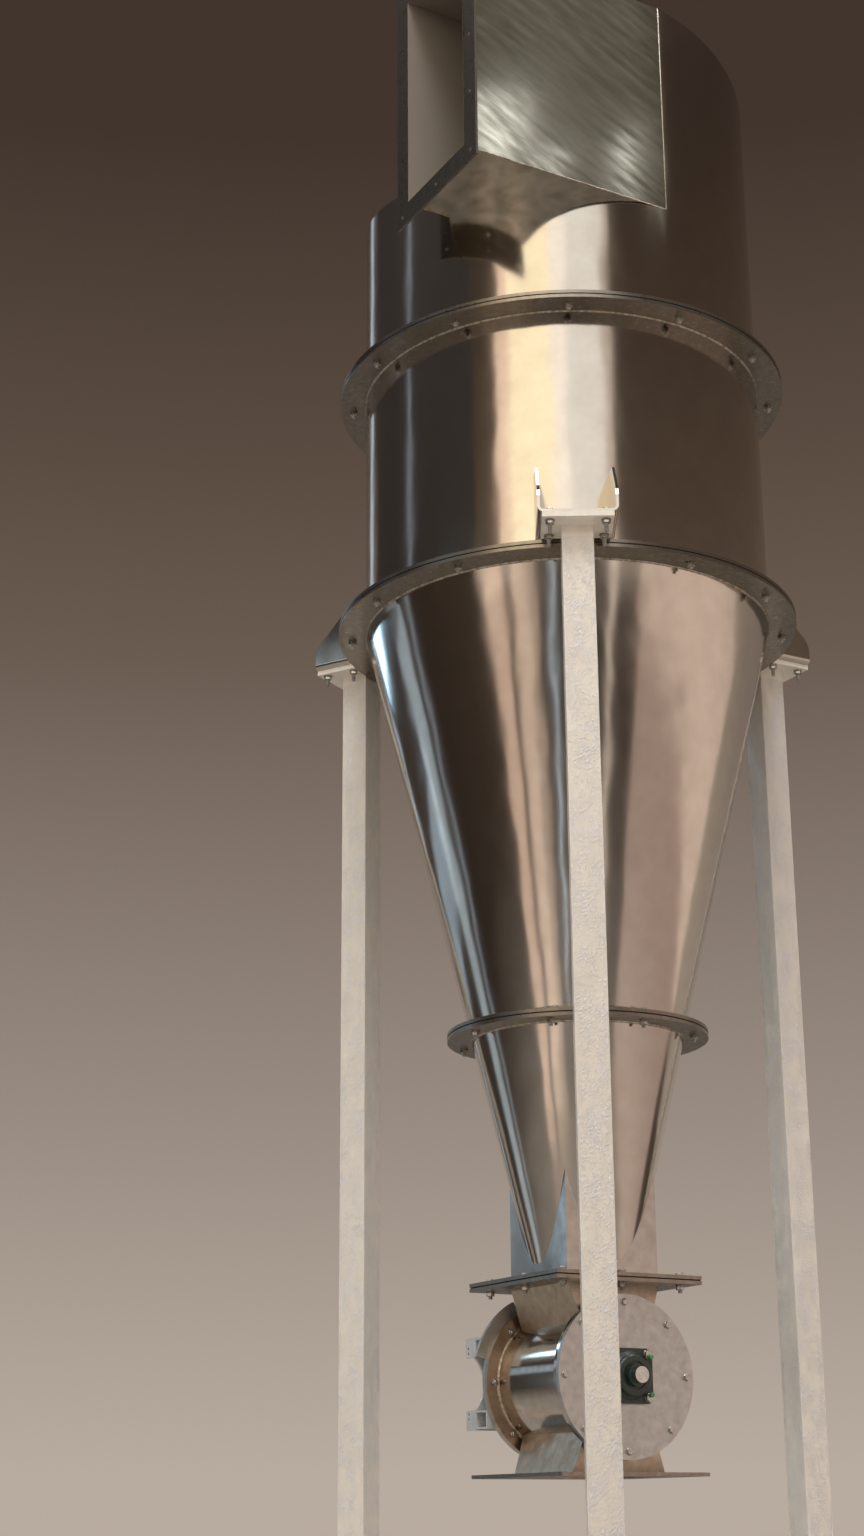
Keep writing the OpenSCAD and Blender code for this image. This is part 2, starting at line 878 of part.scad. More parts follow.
// Half section of the worm's housing, from the cap to the motor's flange.
module worm_side() {
    r = worm_case_d / 2;
    side = gear_x / 2;
    face = motor_x - motor_flange_t;
    polygon([
        [0, -side - worm_cap], [r - 2 * edge, -side - worm_cap], [r - edge, -side - edge], [r, -side - edge],
        [r, side], [r + edge, side + edge], [r + flare_w, face - 2 * edge], [r + flare_w, face], [0, face]
    ]);
}

module motor_flange() {
    color(grey)
        along_x(motor_x - motor_flange_t, motor_x, motor_flange_d);
}

// Motor with straight cooling fins, end shields, feet and a pad for the terminal box.
module motor_body() {
    shield_d = 2 * (fin_r - edge);
    color(dark)
        union() {
            along_x(motor_x, motor_end, motor_d);
            along_x(motor_x, motor_x + shield_t, shield_d);
            along_x(motor_end - shield_t, motor_end, shield_d);
            intersection() {
                along_x(motor_x + shield_t, motor_end - shield_t, 2 * fin_r);
                fins();
            }
            motor_pad();
            motor_foot(-1);
            motor_foot(1);
        }
}

// Level fins on both sides of the motor and upright ones below it.
module fins() {
    n = floor((fin_r - edge) / fin_pitch) - 2;
    translate([motor_x, drive_y, motor_z])
        for (i = [-n : n]) {
            translate([0, -fin_r, i * fin_pitch - fin_t / 2])
                cube([motor_l, 2 * fin_r, fin_t]);
            translate([0, i * fin_pitch - fin_t / 2, -fin_r])
                cube([motor_l, fin_t, fin_r]);
        }
}

module motor_pad() {
    w = term_w / 2 - lid_over;
    x0 = term_x + lid_over;
    block(x0, x0 + term_l - 2 * lid_over, drive_y - w, drive_y + w, motor_z, motor_z + fin_r);
}

// Foot along the motor with the web that carries it.
module motor_foot(side) {
    x0 = motor_x + motor_foot_in;
    x1 = motor_end - motor_foot_in;
    y = drive_y + side * motor_foot_gap / 2;
    web_y = y - side * (motor_foot_w - motor_foot_t) / 2;
    z = motor_z - motor_foot_h;
    web = motor_foot_t / 2;
    block(x0, x1, y - motor_foot_w / 2, y + motor_foot_w / 2, z, z + motor_foot_t);
    block(x0 + edge, x1 - edge, web_y - web, web_y + web, z + 1, motor_z - motor_d / 4);
}

// Fan cover with a rounded rim and round air slots between spokes.
module fan_cover() {
    color(dark)
        translate([motor_end, drive_y, motor_z])
            rotate([0, 90, 0])
                difference() {
                    rotate_extrude($fn = fn_big)
                        cover_side();
                    air_slots();
                }
}

// Half section of the fan cover.
module cover_side() {
    r = fin_r + edge;
    polygon(concat(
        [[0, 0], [r, 0]],
        [for (a = [0 : 15 : 90]) [r - cover_rim + cover_rim * cos(a), cover_l - cover_rim + cover_rim * sin(a)]],
        [[0, cover_l]]
    ));
}

module air_slots() {
    difference() {
        for (r = [slot_r : slot_pitch : fin_r - cover_rim - slot_w])
            translate([0, 0, cover_l - slot_h])
                difference() {
                    cylinder(r = r + slot_w, h = 2 * slot_h, $fn = fn_big);
                    translate([0, 0, -1])
                        cylinder(r = r, h = 2 * slot_h + 2, $fn = fn_big);
                }
        for (turn = [0, 45, 90, 135])
            rotate([0, 0, turn])
                translate([-fin_r, -slot_w / 2, 0])
                    cube([2 * fin_r, slot_w, 2 * cover_l]);
    }
}

// Terminal box with a sloping joint under its lid.
module terminal_box() {
    color(dark)
        translate([0, drive_y, motor_z + fin_r])
            rotate([90, 0, 90])
                union() {
                    translate([0, 0, term_x])
                        linear_extrude(height = term_l)
                            term_side();
                    translate([0, 0, term_x - lid_over])
                        linear_extrude(height = term_l + 2 * lid_over)
                            lid_side();
                }
}

// End outline of the terminal box below its lid.
module term_side() {
    w = term_w / 2;
    polygon([[-w, 0], [w, 0], [w, term_high + lid_over], [-w, term_low + lid_over]]);
}

// End outline of the lid, which slopes with the joint below it.
module lid_side() {
    w = term_w / 2 + lid_over;
    top = term_high + lid_h;
    polygon([
        [-w, term_low], [w, term_high], [w, term_high + lid_edge], [w - lid_edge, top],
        [-w + 2 * lid_edge, top - lid_over], [-w, term_low + 2 * lid_edge]
    ]);
}

// Bent channel in the leg's own frame, with X outwards from the vertical axis.
module bracket_shape() {
    bend = arm_bend;
    difference() {
        intersection() {
            translate([body_r - arm_root, 0, arm_z])
                rotate([90, 0, 90])
                    linear_extrude(height = arm_end - body_r + arm_root)
                        difference() {
                            rounded_low(arm_w, arm_h + 2 * cut, bend);
                            translate([0, arm_t])
                                rounded_low(arm_w - 2 * arm_t, arm_h + 3 * cut, bend - arm_t);
                        }
            translate([0, arm_w / 2 + cut, 0])
                rotate([90, 0, 0])
                    linear_extrude(height = arm_w + 2 * cut)
                        cheek_side();
        }
        translate([0, 0, arm_z - cut])
            disc(body_d, arm_h + 4 * cut);
    }
}

// Outline of a cheek in the plane of the radius: upright edge, round shoulder, slope and easier slope.
module cheek_side() {
    mid_r = arm_end - arm_round;
    edge_z = arm_z + arm_lip;
    top_z = edge_z + arm_round * sin(45);
    ease_r = mid_r + arm_round * cos(45) - (arm_z + arm_ease - top_z);
    polygon(concat(
        [[body_r - arm_root, arm_z], [arm_end, arm_z]],
        [for (a = [0 : 5 : 45]) [mid_r + arm_round * cos(a), edge_z + arm_round * sin(a)]],
        [[ease_r, arm_z + arm_ease], [body_r - arm_root, arm_z + arm_h]]
    ));
}

// Rectangle with its lower edge at zero and its two lower corners rounded.
module rounded_low(w, h, r) {
    union() {
        translate([-w / 2, r])
            square([w, h - r]);
        translate([-w / 2 + r, 0])
            square([w - 2 * r, h]);
        translate([-w / 2 + r, r])
            circle(r = r, $fn = fn_small);
        translate([w / 2 - r, r])
            circle(r = r, $fn = fn_small);
    }
}

module support_bracket(i) {
    color(steel)
        rotate([0, 0, leg_first + 120 * i])
            bracket_shape();
}

module support_bracket_1() {
    support_bracket(0);
}

module support_bracket_2() {
    support_bracket(1);
}

module support_bracket_3() {
    support_bracket(2);
}

module leg(i) {
    out = leg_w / 2;
    in = out - leg_wall;
    color(cream)
        rotate([0, 0, leg_first + 120 * i])
            union() {
                block(top_in, top_in + top_d, -top_w / 2, top_w / 2, leg_top, arm_z);
                difference() {
                    block(leg_r - out, leg_r + out, -out, out, foot_t - 1, leg_top + 1);
                    block(leg_r - in, leg_r + in, -in, in, foot_t, leg_top);
                }
                difference() {
                    block(leg_r - foot_l / 2, leg_r + foot_l / 2, -foot_w / 2, foot_w / 2, 0, foot_t);
                    for (side = [-1, 1])
                        translate([leg_r + side * foot_pitch / 2, 0, -cut])
                            cylinder(d = foot_hole_d, h = foot_t + 2 * cut, $fn = fn_small);
                }
            }
}

module leg_1() {
    leg(0);
}

module leg_2() {
    leg(1);
}

module leg_3() {
    leg(2);
}

inlet_flange();
inlet_duct();
head_shell();
helical_roof();
outlet_pipe();
outlet_flange();
head_flange();
head_gasket();
barrel_top_flange();
barrel();
barrel_bottom_flange();
barrel_gasket();
cone_top_flange();
upper_cone();
cone_bottom_flange();
neck_gasket();
lower_cone_flange();
lower_cone();
discharge_box();
box_flange();
box_gasket();
valve_top_flange();
valve_throat();
valve_body();
end_plate_free();
end_plate_drive();
bearing_free();
bearing_drive();
discharge_hopper();
discharge_flange();
rotor_shaft();
rotor_vanes();
drive_bracket();
gearbox();
motor_flange();
motor_body();
fan_cover();
terminal_box();
support_bracket_1();
support_bracket_2();
support_bracket_3();
leg_1();
leg_2();
leg_3();
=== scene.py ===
"""Looks of a stainless steel cyclone separator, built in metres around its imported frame.

Every length below is in metres unless its name or comment says otherwise. The vertical axis of the
body is the Z axis, the gas enters along +X and the rotary valve's shaft lies along Y.
"""

from __future__ import annotations

import json
import logging
import math
from dataclasses import dataclass
from enum import Enum
from typing import Iterable, Sequence

import bmesh
import bpy
from mathutils import Matrix, Vector, noise

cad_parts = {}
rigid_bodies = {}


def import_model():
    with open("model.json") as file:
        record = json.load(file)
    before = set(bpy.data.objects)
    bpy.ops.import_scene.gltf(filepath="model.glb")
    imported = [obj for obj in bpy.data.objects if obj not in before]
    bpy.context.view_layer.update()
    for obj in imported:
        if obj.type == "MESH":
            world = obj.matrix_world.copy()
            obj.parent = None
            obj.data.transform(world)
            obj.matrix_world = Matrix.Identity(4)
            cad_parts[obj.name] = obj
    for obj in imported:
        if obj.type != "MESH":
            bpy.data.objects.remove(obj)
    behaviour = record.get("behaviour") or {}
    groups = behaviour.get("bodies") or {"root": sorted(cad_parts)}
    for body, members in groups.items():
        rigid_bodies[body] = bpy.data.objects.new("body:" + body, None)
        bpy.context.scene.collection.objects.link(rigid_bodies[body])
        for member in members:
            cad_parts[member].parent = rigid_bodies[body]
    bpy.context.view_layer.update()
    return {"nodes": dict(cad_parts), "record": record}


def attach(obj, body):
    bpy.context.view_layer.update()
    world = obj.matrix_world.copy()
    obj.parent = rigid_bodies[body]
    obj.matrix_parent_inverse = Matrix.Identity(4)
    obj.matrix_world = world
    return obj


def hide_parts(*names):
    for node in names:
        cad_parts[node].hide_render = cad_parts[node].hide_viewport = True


LOG = logging.getLogger("cyclone")
BODY = "frame"
MM = 0.001
LEGS = 3
WASHER_STEPS = 24
# How far a weld reaches into the steel, so that no gap shows.
WELD_SUNK = 0.6 * MM
# Points nearer to each other than this are one.
SAME = 1e-6
# Most values of a noise pattern lie between these two.
NOISE_LOW, NOISE_HIGH = 0.3, 0.7
# Numbers of the mix node's sockets, several of which share a name.
MIX_FACTOR, VALUE_A, VALUE_B, COLOUR_A, COLOUR_B = 0, 2, 3, 6, 7
MIXED_COLOUR = 2
# What each input of a shader node gets, by the input's name or number.
Inputs = dict[str | int, object]


class Slot(Enum):
    """Material slots of the record."""

    SHEET = "stainless_sheet"
    FLANGE = "stainless_flange"
    GASKET = "gasket"
    LEG = "leg_paint"
    VALVE = "valve_casting"
    BEARING = "bearing_green"
    SHAFT = "shaft_steel"
    ROTOR = "rotor_steel"
    DRIVE = "drive_grey"
    MOTOR = "motor_blue"


def to_linear(hex_colour: str) -> tuple[float, float, float, float]:
    """Turns an sRGB hex colour into linear light.

    Args:
        hex_colour: Six hex digits, with or without a leading hash.

    Returns:
        Red, green, blue and an alpha of 1.
    """
    digits = hex_colour.lstrip("#")
    values = [int(digits[i : i + 2], 16) / 255 for i in (0, 2, 4)]
    linear = [v / 12.92 if v <= 0.04045 else ((v + 0.055) / 1.055) ** 2.4 for v in values]
    return (linear[0], linear[1], linear[2], 1.0)


def add_node(
    tree: bpy.types.NodeTree,
    kind: str,
    settings: dict[str, object] | None = None,
    inputs: Inputs | None = None,
    stops: Sequence[tuple[float, str]] = (),
) -> bpy.types.Node:
    """Adds a shader node, with its settings, its input values and its links.

    Args:
        tree: The node tree that gets the node.
        kind: Blender's name of the node type.
        settings: Attributes to set on the node.
        inputs: What each input socket gets: a link from an output socket or from the first output
            of a node, or else a value.
        stops: Places on a colour ramp, from 0 to 1, each with its hex colour.

    Returns:
        The new node.
    """
    node = tree.nodes.new(kind)
    for key, value in (settings or {}).items():
        setattr(node, key, value)
    for key, value in (inputs or {}).items():
        source = value.outputs[0] if isinstance(value, bpy.types.Node) else value
        if isinstance(source, bpy.types.NodeSocket):
            tree.links.new(source, node.inputs[key])
        else:
            node.inputs[key].default_value = source
    elements = node.color_ramp.elements if stops else ()
    while len(elements) < len(stops):
        elements.new(0.5)
    for element, (place, colour) in zip(elements, stops):
        element.position = place
        element.color = to_linear(colour)
    return node


def start_material(name: str) -> tuple[bpy.types.Material, bpy.types.NodeTree, bpy.types.NodeSocket]:
    """Makes a material without nodes, except for its Object coordinates.

    Args:
        name: The material's name.

    Returns:
        The material, its node tree and the Object coordinates, in metres.
    """
    material = bpy.data.materials.new(name)
    material.use_nodes = True
    tree = material.node_tree
    tree.nodes.clear()
    return material, tree, add_node(tree, "ShaderNodeTexCoord").outputs["Object"]


def end_material(material: bpy.types.Material, inputs: Inputs) -> bpy.types.Material:
    """Adds a material's principled shader and its output.

    Args:
        material: The material.
        inputs: What the shader's inputs get.

    Returns:
        The material.
    """
    shader = add_node(material.node_tree, "ShaderNodeBsdfPrincipled", inputs=inputs)
    add_node(material.node_tree, "ShaderNodeOutputMaterial", inputs={"Surface": shader})
    return material


@dataclass(frozen=True)
class Stainless:
    """Stainless steel, cold rolled, then ground or turned.

    The steel mirrors the room in a warm grey. Its grain runs one way and stretches each reflection
    across that way, long waves in the sheet bend the edges of what it mirrors, and handling leaves
    faint cloudy patches. Grain and waves are counted per metre along X, Y and Z.
    """

    name: str
    colour: str
    dull_colour: str
    roughness: float
    uneven: float
    cloud_size: float
    grain: tuple[float, float, float]
    grain_depth: float
    wave_depth: float = 0.0
    drawn_out: float = 0.0
    grain_axis: str = "Z"
    heat_from: float = 0.0
    heat_to: float = 0.0
    waves: tuple[float, float, float] = (13.0, 13.0, 5.5)
    smoke_size: float = 12.5 * MM
    smoke_reach: float = 20 * MM
    heat_dulls: float = 0.30

    def build(self) -> bpy.types.Material:
        """Makes the material."""
        material, tree, place = start_material(self.name)
        clouds = add_node(tree, "ShaderNodeTexNoise", inputs={
            "Vector": place, "Scale": 1 / self.cloud_size, "Detail": 4.0, "Roughness": 0.55})
        lines = add_node(tree, "ShaderNodeTexNoise", inputs={
            "Vector": add_node(tree, "ShaderNodeMapping", inputs={"Vector": place, "Scale": self.grain}),
            "Scale": 1.0, "Detail": 3.0, "Roughness": 0.7})
        colour = add_node(tree, "ShaderNodeValToRGB", inputs={"Fac": clouds}, stops=[
            (NOISE_LOW, self.dull_colour), (NOISE_HIGH, self.colour)])
        cloudy = add_node(tree, "ShaderNodeMapRange", inputs={
            "Value": clouds, "From Min": NOISE_LOW, "From Max": NOISE_HIGH,
            "To Min": self.roughness * (1 + self.uneven), "To Max": self.roughness * (1 - self.uneven)})
        rough = add_node(tree, "ShaderNodeMath", {"operation": "MULTIPLY_ADD"}, {
            0: lines, 1: self.roughness * 0.3, 2: cloudy})
        relief = {"Height": lines, "Distance": self.grain_depth, "Strength": 0.5}
        if self.wave_depth:
            wave = add_node(tree, "ShaderNodeTexNoise", inputs={
                "Vector": add_node(tree, "ShaderNodeMapping", inputs={"Vector": place, "Scale": self.waves}),
                "Scale": 1.0, "Detail": 1.0, "Roughness": 0.4})
            relief["Normal"] = add_node(tree, "ShaderNodeBump", inputs={
                "Height": wave, "Distance": self.wave_depth, "Strength": 1.0})
        looks = {"Metallic": 1.0, "Base Color": colour, "Roughness": rough}
        if self.heat_to:
            looks |= self._heat_tint(tree, place, colour, rough)
        if self.drawn_out:
            looks["Anisotropic"] = self.drawn_out
            looks["Tangent"] = add_node(
                tree, "ShaderNodeTangent", {"direction_type": "RADIAL", "axis": self.grain_axis})
        looks["Normal"] = add_node(tree, "ShaderNodeBump", inputs=relief)
        return end_material(material, looks)

    def _heat_tint(
        self, tree: bpy.types.NodeTree, place: bpy.types.NodeSocket, colour: bpy.types.Node,
        rough: bpy.types.Node,
    ) -> Inputs:
        """Tints the steel straw, then pinkish brown, along Y towards a weld, and dulls it there.

        Args:
            tree: The material's node tree.
            place: The Object coordinates.
            colour: The untinted colour.
            rough: The roughness away from the weld.

        Returns:
            The shader's colour and roughness.
        """
        parts = add_node(tree, "ShaderNodeSeparateXYZ", inputs={"Vector": place})
        smoke = add_node(tree, "ShaderNodeTexNoise", inputs={
            "Vector": place, "Scale": 1 / self.smoke_size, "Detail": 3.0})
        edge = add_node(tree, "ShaderNodeMath", {"operation": "MULTIPLY_ADD"}, {
            0: smoke, 1: self.smoke_reach, 2: parts.outputs["Y"]})
        along = add_node(tree, "ShaderNodeMapRange", inputs={
            "Value": edge, "From Min": self.heat_from, "From Max": self.heat_to})
        tint = add_node(tree, "ShaderNodeValToRGB", inputs={"Fac": along}, stops=[
            (0.0, "#ffffff"), (0.45, "#fdf4e2"), (0.75, "#f7e2d2"), (1.0, "#fbefe9")])
        mixed = add_node(
            tree, "ShaderNodeMix", {"data_type": "RGBA", "blend_type": "MULTIPLY"},
            {MIX_FACTOR: 1.0, COLOUR_A: colour, COLOUR_B: tint})
        duller = add_node(tree, "ShaderNodeMath", {"operation": "MULTIPLY_ADD"}, {
            0: along, 1: self.heat_dulls, 2: rough})
        return {"Base Color": mixed.outputs[MIXED_COLOUR], "Roughness": duller}


@dataclass(frozen=True)
class GroundSheet:
    """Stainless sheet ground by hand with a flap disc.

    Broad slanting strokes leave darker and lighter bands that fan across the sheet, and each stroke
    smears what the steel mirrors along its own way. Inside the duct the sheet is unground and dusty.
    """

    name: str
    colour: str
    dull_colour: str
    roughness: float
    uneven: float
    stroke_depth: float
    slant: float = 25.0
    band_size: tuple[float, float, float] = (120 * MM, 80 * MM, 24 * MM)
    stroke_size: tuple[float, float, float] = (68 * MM, 16 * MM, 3.2 * MM)
    dust_colour: str = "#978d80"
    dust_roughness: float = 0.60
    dust_cover: float = 0.60
    inner_centre: tuple[float, float, float] = (0.0, -360 * MM, 4890 * MM)
    inner_half: tuple[float, float, float] = (0.0, 136.5 * MM, 286.5 * MM)

    def build(self) -> bpy.types.Material:
        """Makes the material."""
        material, tree, place = start_material(self.name)
        turn = (0.0, math.radians(self.slant), 0.0)
        bands, strokes = (
            add_node(tree, "ShaderNodeTexNoise", inputs={
                "Vector": add_node(tree, "ShaderNodeMapping", {"vector_type": "TEXTURE"}, {
                    "Vector": place, "Rotation": turn, "Scale": size}),
                "Scale": 1.0, "Detail": 3.0, "Roughness": share})
            for size, share in ((self.band_size, 0.5), (self.stroke_size, 0.7)))
        colour = add_node(tree, "ShaderNodeValToRGB", inputs={"Fac": bands}, stops=[
            (0.32, self.dull_colour), (0.66, self.colour)])
        rough = add_node(tree, "ShaderNodeMapRange", inputs={
            "Value": bands, "From Min": NOISE_LOW, "From Max": NOISE_HIGH,
            "To Min": self.roughness + self.uneven, "To Max": self.roughness - self.uneven / 2})
        inside = self._inside(tree, place)
        dusty = add_node(tree, "ShaderNodeMix", {"data_type": "RGBA"}, {
            MIX_FACTOR: inside, COLOUR_A: colour, COLOUR_B: to_linear(self.dust_colour)})
        matt = add_node(tree, "ShaderNodeMix", {"data_type": "FLOAT"}, {
            MIX_FACTOR: inside, VALUE_A: rough, VALUE_B: self.dust_roughness})
        bare = add_node(tree, "ShaderNodeMath", {"operation": "MULTIPLY_ADD"}, {
            0: inside, 1: -self.dust_cover, 2: 1.0})
        bump = add_node(tree, "ShaderNodeBump", inputs={
            "Height": strokes, "Distance": self.stroke_depth, "Strength": 0.5})
        return end_material(material, {
            "Metallic": bare, "Base Color": dusty.outputs[MIXED_COLOUR], "Roughness": matt, "Normal": bump})

    def _inside(self, tree: bpy.types.NodeTree, place: bpy.types.NodeSocket) -> bpy.types.Node:
        """Finds the faces inside the duct.

        Args:
            tree: The material's node tree.
            place: The Object coordinates.

        Returns:
            A node that gives 1 inside the duct and 0 elsewhere.
        """
        moved = add_node(
            tree, "ShaderNodeVectorMath", {"operation": "SUBTRACT"}, {0: place, 1: self.inner_centre})
        folded = add_node(tree, "ShaderNodeVectorMath", {"operation": "ABSOLUTE"}, {0: moved})
        past = add_node(
            tree, "ShaderNodeVectorMath", {"operation": "SUBTRACT"}, {0: folded, 1: self.inner_half})
        parts = add_node(tree, "ShaderNodeSeparateXYZ", inputs={"Vector": past})
        most = add_node(
            tree, "ShaderNodeMath", {"operation": "MAXIMUM"}, {0: parts.outputs["Y"], 1: parts.outputs["Z"]})
        return add_node(tree, "ShaderNodeMath", {"operation": "LESS_THAN"}, {0: most, 1: 0.0})


@dataclass(frozen=True)
class Painted:
    """Sprayed paint, bare casting, rubber or plastic: slightly uneven, some of it with a clear gloss."""

    name: str
    colour: str
    worn_colour: str
    roughness: float
    coat: float
    peel_size: float
    peel_depth: float
    blotches: tuple[float, float, float] = (45.0, 45.0, 15.0)
    coat_roughness: float = 0.12

    def build(self) -> bpy.types.Material:
        """Makes the material."""
        material, tree, place = start_material(self.name)
        blotch = add_node(tree, "ShaderNodeTexNoise", inputs={
            "Vector": add_node(tree, "ShaderNodeMapping", inputs={"Vector": place, "Scale": self.blotches}),
            "Scale": 1.0, "Detail": 5.0, "Roughness": 0.6})
        peel = add_node(tree, "ShaderNodeTexNoise", inputs={
            "Vector": place, "Scale": 1 / self.peel_size, "Detail": 2.0})
        colour = add_node(tree, "ShaderNodeValToRGB", inputs={"Fac": blotch}, stops=[
            (NOISE_LOW, self.worn_colour), (0.6, self.colour)])
        bump = add_node(tree, "ShaderNodeBump", inputs={
            "Height": peel, "Distance": self.peel_depth, "Strength": 0.6})
        return end_material(material, {
            "Base Color": colour, "Roughness": self.roughness, "Coat Weight": self.coat,
            "Coat Roughness": self.coat_roughness, "Normal": bump})


@dataclass(frozen=True)
class WeldBead:
    """Stainless filler laid by hand, rippled across its run and tinted straw and brown by the heat."""

    name: str
    clean_colour: str
    straw_colour: str
    burnt_colour: str
    roughness: float
    ripple_size: float
    ripple_depth: float
    tint_size: float = 9 * MM

    def build(self) -> bpy.types.Material:
        """Makes the material."""
        material, tree, place = start_material(self.name)
        heat, ripple = (
            add_node(tree, "ShaderNodeTexNoise", inputs={
                "Vector": place, "Scale": 1 / size, "Detail": detail})
            for size, detail in ((self.tint_size, 2.0), (self.ripple_size, 1.0)))
        colour = add_node(tree, "ShaderNodeValToRGB", inputs={"Fac": heat}, stops=[
            (0.30, self.burnt_colour), (0.48, self.straw_colour), (0.62, self.clean_colour)])
        bump = add_node(tree, "ShaderNodeBump", inputs={
            "Height": ripple, "Distance": self.ripple_depth, "Strength": 0.8})
        return end_material(material, {
            "Metallic": 1.0, "Base Color": colour, "Roughness": self.roughness, "Normal": bump})


@dataclass(frozen=True)
class ClearFilm:
    """Stretched polyethylene film: clear where it lies flat, opaque white where it is creased on the slant, a
    painted glint.
    """

    name: str
    colour: str
    flat_alpha: float
    # Opacity of the white crease streaks, which are painted glints.
    painted_glint_alpha: float
    crease_length: float
    crease_width: float
    roughness: float = 0.16
    coat_roughness: float = 0.14
    ior: float = 1.51
    lean: tuple[float, float, float] = (30.0, 26.0, 0.0)
    patches: tuple[float, float, float] = (45.0, 45.0, 25.0)
    shade_depth: float = 3 * MM
    glint_depth: float = 22 * MM

    def build(self) -> bpy.types.Material:
        """Makes the material."""
        material, tree, place = start_material(self.name)
        slant = add_node(tree, "ShaderNodeMapping", {"vector_type": "TEXTURE"}, {
            "Vector": place, "Rotation": tuple(math.radians(angle) for angle in self.lean),
            "Scale": (self.crease_width, self.crease_width, self.crease_length)})
        creases = add_node(tree, "ShaderNodeTexNoise", inputs={
            "Vector": slant, "Scale": 1.0, "Detail": 3.0, "Roughness": 0.6})
        patches = add_node(tree, "ShaderNodeTexNoise", inputs={
            "Vector": add_node(tree, "ShaderNodeMapping", inputs={"Vector": place, "Scale": self.patches}),
            "Scale": 1.0, "Detail": 2.0})
        both = add_node(tree, "ShaderNodeMath", {"operation": "MULTIPLY_ADD"}, {
            0: patches, 1: 0.35, 2: creases})
        # Painted glints: along the creases the film turns opaque white, standing in for the glints that it
        # reflects.
        film_alpha_with_painted_glints = add_node(tree, "ShaderNodeMapRange", inputs={
            "Value": both, "From Min": 0.71, "From Max": 0.73,
            "To Min": self.flat_alpha, "To Max": self.painted_glint_alpha})
        shaded, glinting = (
            add_node(tree, "ShaderNodeBump", inputs={"Height": creases, "Distance": depth, "Strength": 1.0})
            for depth in (self.shade_depth, self.glint_depth))
        return end_material(material, {
            "Base Color": to_linear(self.colour), "Roughness": self.roughness, "IOR": self.ior,
            "Alpha": film_alpha_with_painted_glints, "Normal": shaded, "Coat Weight": 1.0, "Coat Roughness": self.coat_roughness,
            "Coat Normal": glinting})


